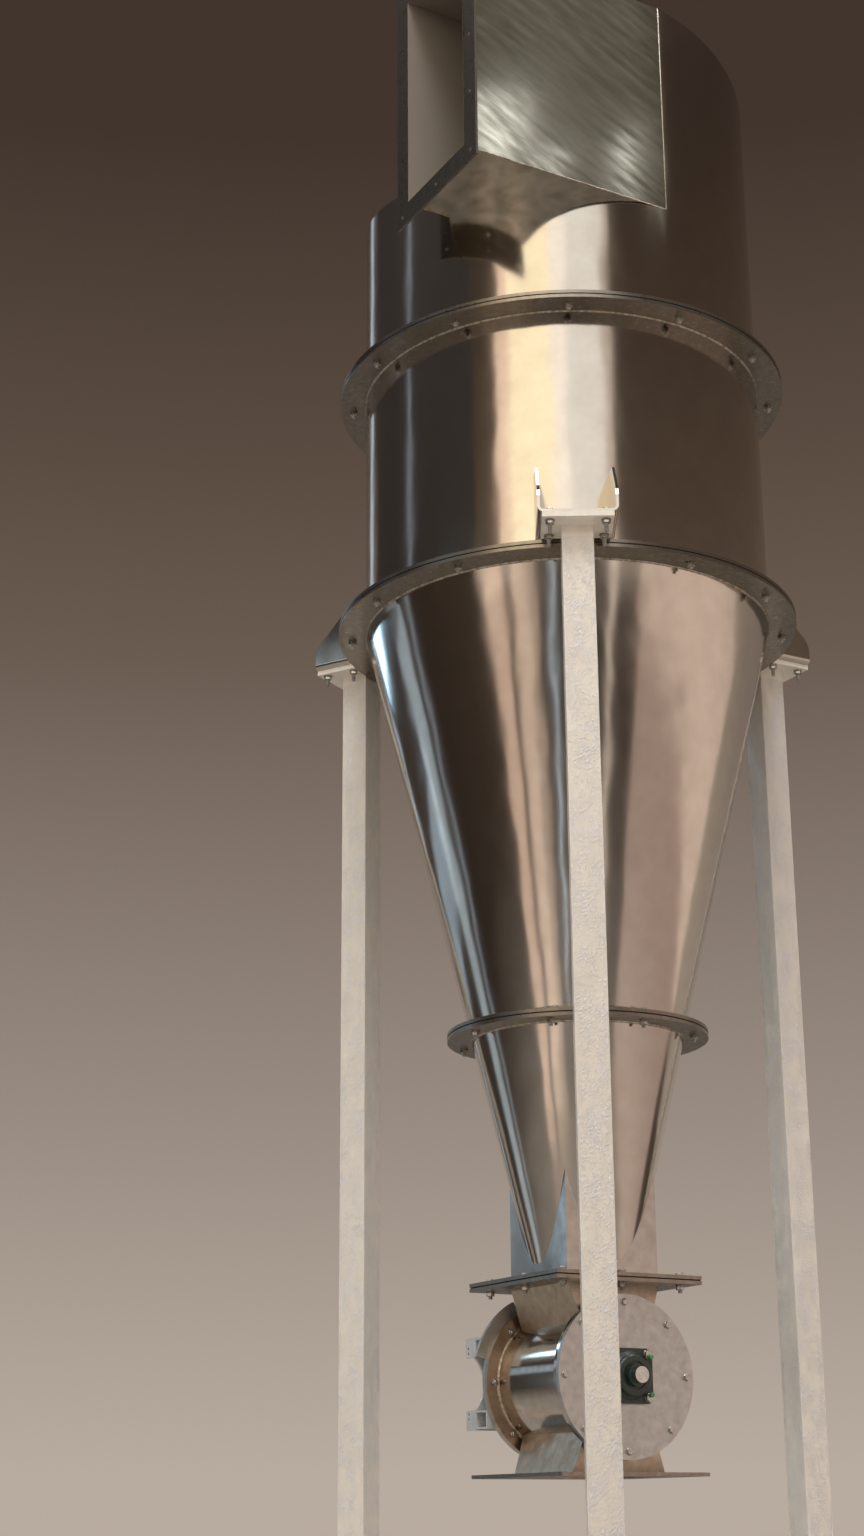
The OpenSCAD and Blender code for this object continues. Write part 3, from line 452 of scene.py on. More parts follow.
class Finishes:
    """All the finishes of the object, each built once."""

    def __init__(self) -> None:
        """Builds every material."""
        # Cold rolled sheet: a soft-edged mirror, its reflections drawn out up and down by the rolling grain.
        sheet = Stainless(
            "cold_rolled_stainless_sheet", "#c9c2b8", "#c1b9ae", 0.11, 0.12, 60 * MM, (20, 20, 3500),
            0.01 * MM, wave_depth=1.5 * MM, drawn_out=0.5)
        # Sheet ground over by hand: slanting strokes that break up the mirror, and matt dust inside.
        duct = GroundSheet("hand_ground_stainless_sheet", "#d0cdc2", "#a19e93", 0.10, 0.06, 0.015 * MM)
        # Flat bar ground on the face: an even satin grey, darker than the sheet beside it.
        flange = Stainless(
            "ground_stainless_flat_bar", "#989085", "#877f75", 0.26, 0.15, 16 * MM, (1300, 1300, 1300),
            0.02 * MM)
        # Plate faced on a lathe: pale, matt and almost without reflections.
        plate = Stainless(
            "turned_stainless_plate", "#cbcbc8", "#bcbab5", 0.36, 0.10, 20 * MM, (1700, 300, 1700), 0.02 * MM)
        # Folded sheet that kept its mill polish: takes the colour of the room on each side.
        box = Stainless(
            "bright_folded_stainless_sheet", "#b7b4af", "#a6a29c", 0.17, 0.20, 30 * MM, (300, 300, 300),
            0.02 * MM, wave_depth=2 * MM)
        # Unpolished sheet: warm, cloudy and matt, as handled plate looks.
        dull = Stainless(
            "unpolished_stainless_sheet", "#cfc1ae", "#b7a894", 0.33, 0.25, 24 * MM, (300, 300, 300),
            0.04 * MM, wave_depth=2 * MM)
        # Pipe turned on a lathe: crisp streaks along its length, straw coloured near the welded rings.
        valve = Stainless(
            "turned_stainless_pipe", "#cdc6bb", "#bdb2a4", 0.10, 0.15, 20 * MM, (150, 3000, 150), 0.02 * MM,
            drawn_out=0.4, grain_axis="Y", heat_from=128 * MM, heat_to=156 * MM)
        # Bright turned bar: fine rings that catch the light.
        shaft = Stainless(
            "bright_turned_shaft", "#c9c9c8", "#b4b4b2", 0.16, 0.10, 10 * MM, (200, 4500, 200), 0.01 * MM)
        # Plate as welded: grey and dull.
        rotor = Stainless(
            "welded_plate_steel", "#a09c96", "#86827c", 0.35, 0.20, 16 * MM, (1500, 300, 1500), 0.03 * MM)
        # Sheet rubber: a thin black line between the flanges.
        rubber = Painted("black_sheet_rubber", "#1c1c1d", "#151516", 0.75, 0.0, 0.4 * MM, 0.1 * MM)
        # Sprayed cream paint: half gloss, with a slight orange peel.
        leg = Painted("cream_spray_paint", "#fbf5e8", "#f1eadb", 0.42, 0.5, 0.6 * MM, 0.08 * MM)
        # Painted cast iron: near black green, a little rough from the casting.
        bearing = Painted("green_painted_iron", "#24352f", "#1c2824", 0.45, 0.3, 0.6 * MM, 0.2 * MM)
        # Bare cast aluminium: pale grey with a pearly, pitted skin.
        drive = Painted("grey_cast_aluminium", "#c6cacb", "#b3b6b5", 0.45, 0.2, 0.6 * MM, 0.2 * MM)
        # Machine paint on finned aluminium: dark blue grey, half gloss.
        motor = Painted("blue_grey_machine_paint", "#3c434b", "#333941", 0.42, 0.3, 0.6 * MM, 0.1 * MM)
        # Cold formed stainless screws: small bright points on the flanges.
        self.fastener = Stainless(
            "bright_rolled_stainless_screw", "#c6c3bd", "#a9a59d", 0.24, 0.15, 4 * MM, (1000, 1000, 1000),
            0.01 * MM).build()
        # Hand laid weld: a thin rippled line, pale to straw.
        self.bead = WeldBead(
            "hand_laid_stainless_weld", "#c6c0b6", "#b3a58f", "#8f8175", 0.34, 0.6 * MM, 0.4 * MM).build()
        # Stretched film: nearly clear, with faint glints from its creased coat and painted glints as opaque
        # white streaks on its creases.
        self.film = ClearFilm("clear_stretch_film", "#ffffff", 0.08, 1.00, 15 * MM, 2.2 * MM).build()
        # Moulded polythene: a spot of clear green.
        self.green_cap = Painted(
            "green_moulded_polythene", "#2f9a48", "#278a3f", 0.35, 0.2, 0.8 * MM, 0.1 * MM).build()
        self.by_slot = {
            slot: finish.build() for slot, finish in (
                (Slot.SHEET, sheet), (Slot.FLANGE, flange), (Slot.GASKET, rubber), (Slot.LEG, leg),
                (Slot.VALVE, valve), (Slot.BEARING, bearing), (Slot.SHAFT, shaft), (Slot.ROTOR, rotor),
                (Slot.DRIVE, drive), (Slot.MOTOR, motor))}
        plate_steel, dull_steel = plate.build(), dull.build()
        self.by_node = {
            "inlet_duct": duct.build(),
            "end_plate_free": plate_steel,
            "end_plate_drive": plate_steel,
            "valve_throat": dull_steel,
            "discharge_hopper": dull_steel,
            "discharge_box": box.build(),
        }


def dress_nodes(frame: dict, finishes: Finishes) -> None:
    """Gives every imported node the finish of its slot.

    Args:
        finishes: The finishes.
    """
    for part in frame["record"]["subparts"]:
        node = frame["nodes"][part["node"]]
        node.data.materials.clear()
        slot = Slot(part["material_slot"])
        node.data.materials.append(finishes.by_node.get(part["node"], finishes.by_slot[slot]))


@dataclass(frozen=True)
class Viewpoint:
    """The camera, at the height and angle from which the object is seen from below."""

    place: tuple[float, float, float] = (-2.8265, -4.3951, 1.5689)
    ahead: tuple[float, float, float] = (0.46048, 0.82896, 0.31747)
    above: tuple[float, float, float] = (-0.14854, -0.28065, 0.94825)
    sensor: float = 36.0
    focal_share: float = 2256.1 / 1536.0

    def build(self) -> bpy.types.Object:
        """Makes the camera and makes it the scene's own."""
        data = bpy.data.cameras.new("camera")
        data.sensor_width = self.sensor
        data.lens = self.focal_share * self.sensor
        data.clip_end = 200.0
        camera = bpy.data.objects.new("camera", data)
        bpy.context.scene.collection.objects.link(camera)
        back = -Vector(self.ahead).normalized()
        up = Vector(self.above)
        up = (up - up.dot(back) * back).normalized()
        right = up.cross(back)
        turn = Matrix((right, up, back)).transposed().to_4x4()
        camera.matrix_world = Matrix.Translation(self.place) @ turn
        bpy.context.scene.camera = camera
        return camera


@dataclass(frozen=True)
class Softbox:
    """An upright studio lamp that faces the object's axis."""

    name: str
    azimuth: float
    spread: float
    low: float
    high: float
    radiance: float
    colour: str
    distance: float = 8.0
    tip: float = 0.0

    def build(self) -> None:
        """Makes the lamp."""
        data = bpy.data.lights.new(self.name, "AREA")
        data.shape = "RECTANGLE"
        data.size = 2 * self.distance * math.tan(math.radians(self.spread) / 2)
        data.size_y = self.high - self.low
        data.energy = self.radiance * math.pi * data.size * data.size_y
        data.color = to_linear(self.colour)[:3]
        lamp = bpy.data.objects.new(self.name, data)
        bpy.context.scene.collection.objects.link(lamp)
        angle = math.radians(self.azimuth)
        place = Vector((math.cos(angle), math.sin(angle), 0)) * self.distance
        facing = (place + Vector((0, 0, self.tip))).to_track_quat("Z", "Y")
        place.z = (self.low + self.high) / 2
        lamp.matrix_world = Matrix.Translation(place) @ facing.to_matrix().to_4x4()
        lamp.visible_camera = False


class Studio:
    """Plain soft light, a pale floor and a plain backdrop."""

    floor_half = 60.0
    floor_colour = "#b9b2a9"
    # Slope of a look at the backdrop, as the upward part of a unit direction.
    backdrop_from = -0.1
    backdrop_to = 0.9
    backdrop = (
        (0.0, "#b8ab9f"), (0.12, "#b8ab9f"), (0.26, "#9a8d83"), (0.46, "#6a5c51"), (0.54, "#5a4c41"),
        (0.66, "#41352e"), (1.0, "#41352e"))
    # Name, azimuth and width in degrees, lower and upper edge, radiance and colour, then the distance
    # from the axis and how far the lamp tips down.
    boxes = (
        Softbox("window_a", -154.5, 7.0, 5.2, 12.5, 1.35, "#ffe2cc"),
        Softbox("window_b", -139.0, 24.0, 5.2, 12.5, 1.75, "#fff2d2"),
        Softbox("window_c", -123.0, 8.0, 5.2, 12.5, 1.60, "#fff8f0"),
        Softbox("window_d", -109.0, 20.0, 5.2, 12.5, 1.25, "#fbfaf6"),
        Softbox("window_e", -96.5, 5.0, 5.2, 12.5, 0.75, "#fff0e4"),
        Softbox("warm_bounce_a", -161.0, 10.0, 0.0, 4.6, 0.85, "#ffe0cc"),
        Softbox("warm_bounce_b", -147.5, 9.0, 0.0, 4.6, 0.90, "#ffe6d4"),
        Softbox("warm_bounce_c", -140.5, 5.0, 0.0, 4.6, 0.50, "#ffe6d4"),
        Softbox("pink_wall", -45.0, 74.0, 0.0, 4.6, 0.45, "#ffe1d5"),
        Softbox("blue_gap_front", -130.2, 1.6, 0.6, 4.4, 1.60, "#d4ecff"),
        Softbox("pale_gap_front", -98.0, 4.0, 0.6, 4.4, 0.80, "#fff0e6"),
        Softbox("blue_gap_left", 142.5, 3.0, 0.6, 12.0, 0.50, "#cfe2fa"),
        Softbox("blue_gap_rear", 95.0, 6.0, 5.6, 12.0, 0.90, "#d0e6fa"),
        Softbox("blue_low_rear", 92.5, 3.0, 0.6, 5.4, 0.90, "#d6eaff"),
        Softbox("blue_low_side", 130.0, 12.0, 0.6, 4.6, 0.75, "#c8dff0"),
        Softbox("blue_box_side", 115.0, 28.0, 3.05, 3.9, 0.66, "#bcd8f0"),
        Softbox("blue_gap_side", 110.0, 24.0, 5.15, 5.6, 8.00, "#a6cfee"),
        Softbox("duct_glow", -65.4, 13.6, 6.5, 7.9, 0.16, "#f4f2e0", 3.52),
        Softbox("duct_patch_left", -70.3, 3.8, 6.66, 6.96, 1.60, "#f6f8f4", 3.38),
        Softbox("duct_patch_low", -66.8, 3.0, 6.66, 6.80, 0.90, "#f6f8f4", 3.48),
        Softbox("duct_patch_right", -61.2, 1.4, 6.66, 7.00, 0.90, "#f6f8f4", 3.65),
        Softbox("blue_side", 180.0, 25.0, 4.9, 6.6, 1.00, "#cfe4f2"),
        Softbox("key_high", -122.0, 34.0, 12.5, 17.0, 15.0, "#f8faff", 7.0, 11.0),
        Softbox("fill_high_right", -25.0, 34.0, 12.5, 17.0, 8.0, "#fcfbff", 7.0, 11.0),
        Softbox("fill_high_left", 150.0, 34.0, 12.5, 17.0, 8.0, "#f4f8ff", 7.0, 11.0),
        Softbox("fill_high_rear", 60.0, 34.0, 12.5, 17.0, 2.5, "#ffffff", 7.0, 11.0),
    )
    # Name, distance from the axis, lower and upper edge, first azimuth and arc in degrees, colour.
    flags = (
        ("dark_flag", 22.0, (0.01, 9.0), 86.0, 104.0, "#80746a"),
        ("dark_high_flag", 9.5, (6.6, 12.0), 104.0, 84.0, "#2c2622"),
    )

    def build(self) -> None:
        """Makes lamps, world, floor and flags."""
        for box in self.boxes:
            box.build()
        self._world()
        self._floor()
        for flag in self.flags:
            self._flag(*flag)

    def _world(self) -> None:
        """A plain backdrop that darkens gently upwards."""
        world = bpy.data.worlds.new("studio")
        world.use_nodes = True
        tree = world.node_tree
        tree.nodes.clear()
        direction = add_node(tree, "ShaderNodeTexCoord")
        parts = add_node(tree, "ShaderNodeSeparateXYZ", inputs={"Vector": direction.outputs["Generated"]})
        height = add_node(tree, "ShaderNodeMapRange", inputs={
            "Value": parts.outputs["Z"], "From Min": self.backdrop_from, "From Max": self.backdrop_to})
        colour = add_node(tree, "ShaderNodeValToRGB", inputs={"Fac": height}, stops=self.backdrop)
        back = add_node(tree, "ShaderNodeBackground", inputs={"Color": colour, "Strength": 1.0})
        add_node(tree, "ShaderNodeOutputWorld", inputs={"Surface": back})
        bpy.context.scene.world = world

    def _floor(self) -> None:
        """The pale studio floor."""
        shape = bmesh.new()
        bmesh.ops.create_grid(shape, x_segments=1, y_segments=1, size=self.floor_half)
        self._set_up(shape, "studio_floor", self.floor_colour)

    def _flag(
        self, name: str, radius: float, height: tuple[float, float], start: float, arc: float, colour: str
    ) -> None:
        """A dark cloth flag behind the left side, which only shows as a mirror image.

        Args:
            name: Its name.
            radius: Its distance from the object's axis.
            height: Its lower and upper edge.
            start: Azimuth of its first end, in degrees.
            arc: The angle that it covers, in degrees.
            colour: The cloth's colour.
        """
        shape = bmesh.new()
        low = shape.verts.new((radius, 0, height[0]))
        high = shape.verts.new((radius, 0, height[1]))
        edge = shape.edges.new((low, high))
        turn = Matrix.Rotation(math.radians(start), 4, "Z")
        bmesh.ops.transform(shape, matrix=turn, verts=shape.verts)
        bmesh.ops.spin(
            shape, geom=[low, high, edge], cent=(0, 0, 0), axis=(0, 0, 1), angle=math.radians(arc),
            steps=int(arc / 4))
        flag = self._set_up(shape, name, colour)
        flag.visible_camera = False
        flag.visible_diffuse = False

    def _set_up(self, shape: bmesh.types.BMesh, name: str, colour: str) -> bpy.types.Object:
        """Makes a staged object of one plain colour.

        Args:
            shape: The finished shape, which is freed.
            name: Name of the object and its mesh.
            colour: The matt colour.

        Returns:
            The staged object.
        """
        mesh = bpy.data.meshes.new(name)
        shape.to_mesh(mesh)
        shape.free()
        thing = bpy.data.objects.new(name, mesh)
        bpy.context.scene.collection.objects.link(thing)
        material, _, _ = start_material(name + "_paint")
        mesh.materials.append(end_material(material, {"Base Color": to_linear(colour), "Roughness": 0.8}))
        return thing


def turned(degrees: float, axis: str) -> Matrix:
    """A turn about one axis."""
    return Matrix.Rotation(math.radians(degrees), 4, axis)


def moved(x: float, y: float, z: float) -> Matrix:
    """A shift."""
    return Matrix.Translation((x, y, z))


def turn_full(
    shape: bmesh.types.BMesh, points: Sequence[tuple[float, float]], steps: int, closed: bool = False
) -> None:
    """Turns a half section once round the Z axis.

    Args:
        shape: The shape that gets the turned surface.
        points: Radius and height of each corner of the section, in order.
        steps: Facets round the axis.
        closed: Whether the last corner joins the first.
    """
    verts = [shape.verts.new((radius, 0.0, height)) for radius, height in points]
    ends = verts[1:] + verts[:1] if closed else verts[1:]
    edges = [shape.edges.new(pair) for pair in zip(verts, ends)]
    bmesh.ops.spin(
        shape, geom=verts + edges, cent=(0, 0, 0), axis=(0, 0, 1), angle=2 * math.pi, steps=steps,
        use_merge=True)


def turn_part(
    shape: bmesh.types.BMesh, points: Sequence[tuple[float, float]], start: float, arc: float, steps: int,
    climb: float,
) -> None:
    """Turns a closed section through part of a circle, as a solid with two end faces.

    Args:
        shape: The shape that gets the solid.
        points: Radius and height of each corner of the section.
        start: Azimuth of the first end, in degrees.
        arc: Turned angle, in degrees.
        steps: Facets along the arc.
        climb: Height gained over the whole arc.
    """
    verts = [shape.verts.new((radius, 0.0, height)) for radius, height in points]
    face = shape.faces.new(verts)
    bmesh.ops.rotate(shape, verts=verts, cent=(0, 0, 0), matrix=Matrix.Rotation(math.radians(start), 3, "Z"))
    bmesh.ops.spin(
        shape, geom=[face], cent=(0, 0, 0), axis=(0, 0, 1), angle=math.radians(arc), steps=steps,
        dvec=(0, 0, climb / steps))


def hexagon(shape: bmesh.types.BMesh, across: float, low: float, high: float, chamfer: float) -> None:
    """Adds a hexagonal prism with its upper and lower edges broken.

    Args:
        shape: The shape that gets the prism.
        across: Width across the flats.
        low: Height of the lower face.
        high: Height of the upper face.
        chamfer: Width of the broken edges.
    """
    bottom = bmesh.ops.create_circle(
        shape, cap_ends=True, segments=6, radius=across / math.sqrt(3), matrix=moved(0, 0, low))
    faces = list({face for vert in bottom["verts"] for face in vert.link_faces})
    grown = bmesh.ops.extrude_face_region(shape, geom=faces)["geom"]
    top = [part for part in grown if isinstance(part, bmesh.types.BMVert)]
    bmesh.ops.translate(shape, verts=top, vec=(0, 0, high - low))
    rims = [
        edge for edge in {e for vert in bottom["verts"] + top for e in vert.link_edges}
        if abs(edge.verts[0].co.z - edge.verts[1].co.z) < SAME]
    bmesh.ops.bevel(shape, geom=rims, offset=chamfer, affect="EDGES", segments=1, profile=0.5, material=-1)


def as_mesh(shape: bmesh.types.BMesh, name: str) -> bpy.types.Mesh:
    """Closes a shape's seams, turns its faces outwards and makes it a mesh.

    Args:
        shape: The finished shape, which is freed.
        name: The mesh's name.

    Returns:
        The mesh.
    """
    bmesh.ops.remove_doubles(shape, verts=shape.verts, dist=SAME)
    bmesh.ops.recalc_face_normals(shape, faces=shape.faces)
    mesh = bpy.data.meshes.new(name)
    shape.to_mesh(mesh)
    shape.free()
    return mesh


def stamp(target: bmesh.types.BMesh, pattern: bpy.types.Mesh, places: Iterable[Matrix]) -> None:
    """Copies one mesh to many places of a shape.

    Args:
        target: The shape that gets the copies.
        pattern: The mesh that is copied.
        places: Where each copy goes.
    """
    for place in places:
        before = len(target.verts)
        target.from_mesh(pattern)
        target.verts.ensure_lookup_table()
        bmesh.ops.transform(target, matrix=place, verts=target.verts[before:])


def finish_piece(
    shape: bmesh.types.BMesh, name: str, material: bpy.types.Material, sharp: float = 35.0
) -> bpy.types.Object:
    """Closes a shape and makes it a finished piece that rides on the body.

    Args:
        shape: The finished shape, which is freed.
        name: The piece's name.
        material: Its finish.
        sharp: Edges steeper than this many degrees stay crisp.

    Returns:
        The piece.
    """
    mesh = as_mesh(shape, name)
    for face in mesh.polygons:
        face.use_smooth = True
    mesh.set_sharp_from_angle(angle=math.radians(sharp))
    mesh.materials.append(material)
    piece = bpy.data.objects.new(name, mesh)
    bpy.context.scene.collection.objects.link(piece)
    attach(piece, BODY)
    LOG.info("%s: %d faces", name, len(mesh.polygons))
    return piece


def around(radius: float, height: float, count: int) -> list[Matrix]:
    """Places on a circle about the body's axis, each turned to face outwards."""
    return [turned(360.0 * i / count, "Z") @ moved(radius, 0, height) for i in range(count)]


def place_bolts(name: str, pattern: bpy.types.Mesh, places: Iterable[Matrix], finishes: Finishes) -> None:
    """Makes the bolts of one joint a piece.

    Args:
        name: The piece's name.
        pattern: The mesh of one bolt.
        places: Where the bolts go.
        finishes: The finishes.
    """
    shape = bmesh.new()
    stamp(shape, pattern, places)
    finish_piece(shape, name, finishes.fastener, sharp=30)


def eased(inner: float, outer: float, low: float, high: float, ease: float) -> list[tuple[float, float]]:
    """Gives the half section of a disc or ring whose upper outer edge is broken.

    Args:
        inner: Inner radius, 0 for a disc.
        outer: Outer radius.
        low: Height of the lower face.
        high: Height of the upper face.
        ease: Width of the broken edge.

    Returns:
        Radius and height of each corner.
    """
    return [(inner, low), (outer, low), (outer, high - ease), (outer - ease, high), (inner, high)]


def fillet(
    radius: float, height: float, way: int, size: float, bulge: Sequence[tuple[float, float]]
) -> list[tuple[float, float]]:
    """Gives the half section of a full fillet weld in the corner between a shell and a ring.

    Args:
        radius: Radius of the corner.
        height: Height of the corner.
        way: 1 where the shell goes up from the ring, -1 where it goes down.
        size: Leg length of the weld.
        bulge: Its rounded face, outwards and along the shell, as shares of the size.

    Returns:
        Radius and height of each corner.
    """
    inner, sunk = radius - WELD_SUNK, height - way * WELD_SUNK
    face = [(radius + out * size, height + way * up * size) for out, up in bulge]
    return [(inner, sunk), (inner, height + way * size), *face, (radius + size, sunk)]


@dataclass(frozen=True)
class Bolt:
    """A hexagon bolt with two washers and a nut, through a joint of a given thickness.

    It stands upright with its head on top, and the joint's lower face at height 0. The root is a
    share of the thread's radius, and crest and groove are shares of its pitch.
    """

    grip: float
    thread: float = 10 * MM
    across: float = 17 * MM
    head: float = 6.4 * MM
    nut: float = 8 * MM
    washer_r: float = 10.5 * MM
    washer: float = 2 * MM
    stub: float = 7 * MM
    pitch: float = 1.5 * MM
    chamfer: float = 0.9 * MM
    ease: float = 0.5 * MM
    sunk: float = 1 * MM
    root: float = 0.86
    crest: float = 0.45
    groove: float = 0.95
    point_r: float = 0.8
    point: float = 0.3 * MM

    def build(self) -> bpy.types.Mesh:
        """Makes the mesh of one bolt."""
        shape = bmesh.new()
        above, below = self.grip + self.washer, -self.washer
        hexagon(shape, self.across, above, above + self.head, self.chamfer)
        hexagon(shape, self.across, below - self.nut, below, self.chamfer)
        for low in (self.grip, below):
            section = eased(self.thread / 2, self.washer_r, low, low + self.washer, self.ease)
            turn_full(shape, section, WASHER_STEPS, closed=True)
        self._thread(shape)
        return as_mesh(shape, "bolt_pattern")

    def _thread(self, shape: bmesh.types.BMesh) -> None:
        """Adds the threaded end below the nut.

        Args:
            shape: The shape that gets it.
        """
        top = -self.washer - self.nut + self.sunk
        radius = self.thread / 2
        turns = int((self.stub + self.sunk) / self.pitch)
        points = [(radius * self.root, top)]
        for i in range(turns):
            height = top - i * self.pitch
            points.append((radius, height - self.crest * self.pitch))
            points.append((radius * self.root, height - self.groove * self.pitch))
        low = top - turns * self.pitch - self.point
        turn_full(shape, points + [(radius * self.point_r, low), (0.0, low)], 12)


@dataclass(frozen=True)
class Head:
    """A hexagon head on a washer, which stands upright on a face at height 0."""

    across: float
    height: float
    washer_r: float
    washer: float
    chamfer: float
    sunk: float = 0.0
    ease: float = 0.4 * MM

    def build(self) -> bpy.types.Mesh:
        """Makes the mesh of one head."""
        shape = bmesh.new()
        hexagon(shape, self.across, self.washer, self.washer + self.height, self.chamfer)
        turn_full(shape, eased(0, self.washer_r, -self.sunk, self.washer, self.ease), WASHER_STEPS)
        return as_mesh(shape, "head_pattern")


@dataclass
class FlangeBolts:
    """The bolts of the round and square flange joints, all of size M10."""

    wide_r: float = 532.5 * MM
    wide_low: tuple[float, float] = (4285 * MM, 3650 * MM)
    wide_count: int = 12
    neck_r: float = 275 * MM
    neck_low: float = 2635 * MM
    neck_count: int = 8
    grip: float = 19 * MM
    square_low: float = 2070 * MM
    square_half: float = 155 * MM
    hand_turn: float = 0.7

    def build(self, finishes: Finishes) -> None:
        """Makes the bolts of each joint one piece, their heads turned as hand-tightened ones stand.

        Args:
            finishes: The finishes.
        """
        bolt = Bolt(self.grip).build()
        half = self.square_half
        joints = {
            "head_joint_bolts": around(self.wide_r, self.wide_low[0], self.wide_count),
            "waist_joint_bolts": around(self.wide_r, self.wide_low[1], self.wide_count),
            "neck_joint_bolts": around(self.neck_r, self.neck_low, self.neck_count),
            "box_joint_bolts": [
                moved(i * half, j * half, self.square_low) for i in (-1, 0, 1) for j in (-1, 0, 1) if i or j],
        }
        for name, places in joints.items():
            place_bolts(name, bolt, [
                place @ Matrix.Rotation(self.hand_turn * i * i, 4, "Z")
                for i, place in enumerate(places)], finishes)


@dataclass
class ValveBolts:
    """The bolts of the end plates and of the two bearings on the valve."""

    axis_z: float = 1870 * MM
    ring_y: float = 142 * MM
    plate_y: float = 162 * MM
    circle_r: float = 157.5 * MM
    count: int = 8
    first: float = 0.1
    bearing_half: float = 46 * MM
    bearing_t: float = 14 * MM

    def build(self, finishes: Finishes) -> None:
        """Makes the bolts of each end one piece.

        Args:
            finishes: The finishes.
        """
        ends = (("free", -1), ("driven", 1))
        bolt = Bolt(
            self.plate_y - self.ring_y, thread=8 * MM, across=13 * MM, head=5.3 * MM, nut=6.5 * MM,
            washer_r=8 * MM, washer=1.6 * MM, stub=4 * MM, pitch=1.25 * MM).build()
        for end, side in ends:
            place_bolts(f"{end}_end_bolts", bolt, [
                self._outwards(side, self.circle_r, 360.0 / self.count * i + self.first, self.ring_y)
                for i in range(self.count)], finishes)
        head = Head(17 * MM, 6.4 * MM, 10 * MM, 2 * MM, 0.9 * MM).build()
        reach = self.bearing_half * math.sqrt(2)
        for end, side in ends:
            place_bolts(f"{end}_bearing_bolts", head, [
                self._outwards(side, reach, 90.0 * i + 45.0, self.plate_y + self.bearing_t)
                for i in range(4)], finishes)

    def _outwards(self, side: int, radius: float, angle: float, face: float) -> Matrix:
        """Gives a place on the valve's end where an upright bolt's head points outwards.

        Args:
            side: 1 for the driven end, -1 for the free end.
            radius: Distance from the shaft.
            angle: Angle about the shaft, in degrees from +X towards +Z.
            face: Distance of the joint's inner face from the valve's middle.

        Returns:
            The place.
        """
        turn = math.radians(angle)
        place = moved(radius * math.cos(turn), side * face, self.axis_z + radius * math.sin(turn))
        return place @ turned(-90.0 * side, "X")


@dataclass
class DriveBolts:
    """The four bolts that hold the motor's flange to the gearbox."""

    face_x: float = 100 * MM
    drive_y: float = 276 * MM
    motor_z: float = 1933 * MM
    circle_r: float = 65 * MM

    def build(self, finishes: Finishes) -> None:
        """Makes the four heads one piece.

        Args:
            finishes: The finishes.
        """
        head = Head(13 * MM, 5.3 * MM, 8 * MM, 1.6 * MM, 0.7 * MM, sunk=0.1 * MM).build()
        centre = moved(self.face_x, self.drive_y, self.motor_z)
        place_bolts("motor_flange_bolts", head, [
            centre @ turned(45.0 + 90.0 * i, "X") @ moved(0, 0, self.circle_r) @ turned(-90.0, "Y")
            for i in range(4)], finishes)


@dataclass
class BearingCaps:
    """Green plastic caps on the grease nipple and on one corner of the free bearing."""

    places: tuple[tuple[float, float], ...] = ((47 * MM, 40 * MM), (47 * MM, -40 * MM))
    face_y: float = -184.6 * MM
    axis_z: float = 1870 * MM
    radius: float = 5 * MM
    length: float = 7 * MM
    ease: float = 1.2 * MM

    def build(self, finishes: Finishes) -> None:
        """Makes the caps one piece.

        Args:
            finishes: The finishes.
        """
        cap = bmesh.new()
        turn_full(cap, eased(0, self.radius, 0, self.length, self.ease), 20)
        shape = bmesh.new()
        stamp(shape, as_mesh(cap, "cap_pattern"), [
            moved(x, self.face_y, self.axis_z + z) @ turned(90, "X") for x, z in self.places])
        finish_piece(shape, "bearing_caps", finishes.green_cap)


@dataclass
class BracketBolts:
    """The four bolts that hold each support bracket on the top plate of its leg."""

    radii: tuple[float, float] = (590 * MM, 670 * MM)
    half_pitch: float = 62 * MM
    low: float = 3666 * MM
    grip: float = 18 * MM
    stub: float = 19 * MM

    def build(self, finishes: Finishes) -> None:
        """Makes the bolts of each bracket one piece.

        Args:
            finishes: The finishes.
        """
        bolt = Bolt(self.grip, washer_r=11 * MM, washer=2.5 * MM, stub=self.stub).build()
        for i in range(LEGS):
            place_bolts(f"bracket_bolts_{i + 1}", bolt, [
                turned(360.0 / LEGS * i, "Z") @ moved(radius, side * self.half_pitch, self.low)
                for radius in self.radii for side in (-1, 1)], finishes)


@dataclass
class RoundWelds:
    """Weld beads that run round the body, in the corners between the shells and their flanges."""

    body_r: float = 500 * MM
    neck_r: float = 250 * MM
    neck_step: float = 1.5 * MM
    cone_h: float = 1012 * MM
    ring_t: float = 8 * MM
    head_low: float = 4285 * MM
    waist_low: float = 3650 * MM
    neck_low: float = 2635 * MM
    joint_t: float = 19 * MM
    size: float = 3.5 * MM
    bulge: tuple[tuple[float, float], ...] = ((0.30, 0.80), (0.62, 0.62), (0.80, 0.30))

    def build(self, finishes: Finishes) -> None:
        """Makes the beads of each joint one piece.

        Args:
            finishes: The finishes.
        """
        lean = self.ring_t * (self.body_r - self.neck_r) / self.cone_h
        rows = {
            "head_joint_welds": (self.head_low, self.body_r, self.body_r),
            "waist_joint_welds": (self.waist_low, self.body_r, self.body_r - lean),
            "neck_joint_welds": (self.neck_low, self.neck_r + lean, self.neck_r - self.neck_step),
        }
        for name, (low, upper_r, lower_r) in rows.items():
            shape = bmesh.new()
            for radius, height, way in ((upper_r, low + self.joint_t, 1), (lower_r, low, -1)):
                turn_full(shape, fillet(radius, height, way, self.size, self.bulge), 180, closed=True)
            finish_piece(shape, name, finishes.bead, sharp=60)


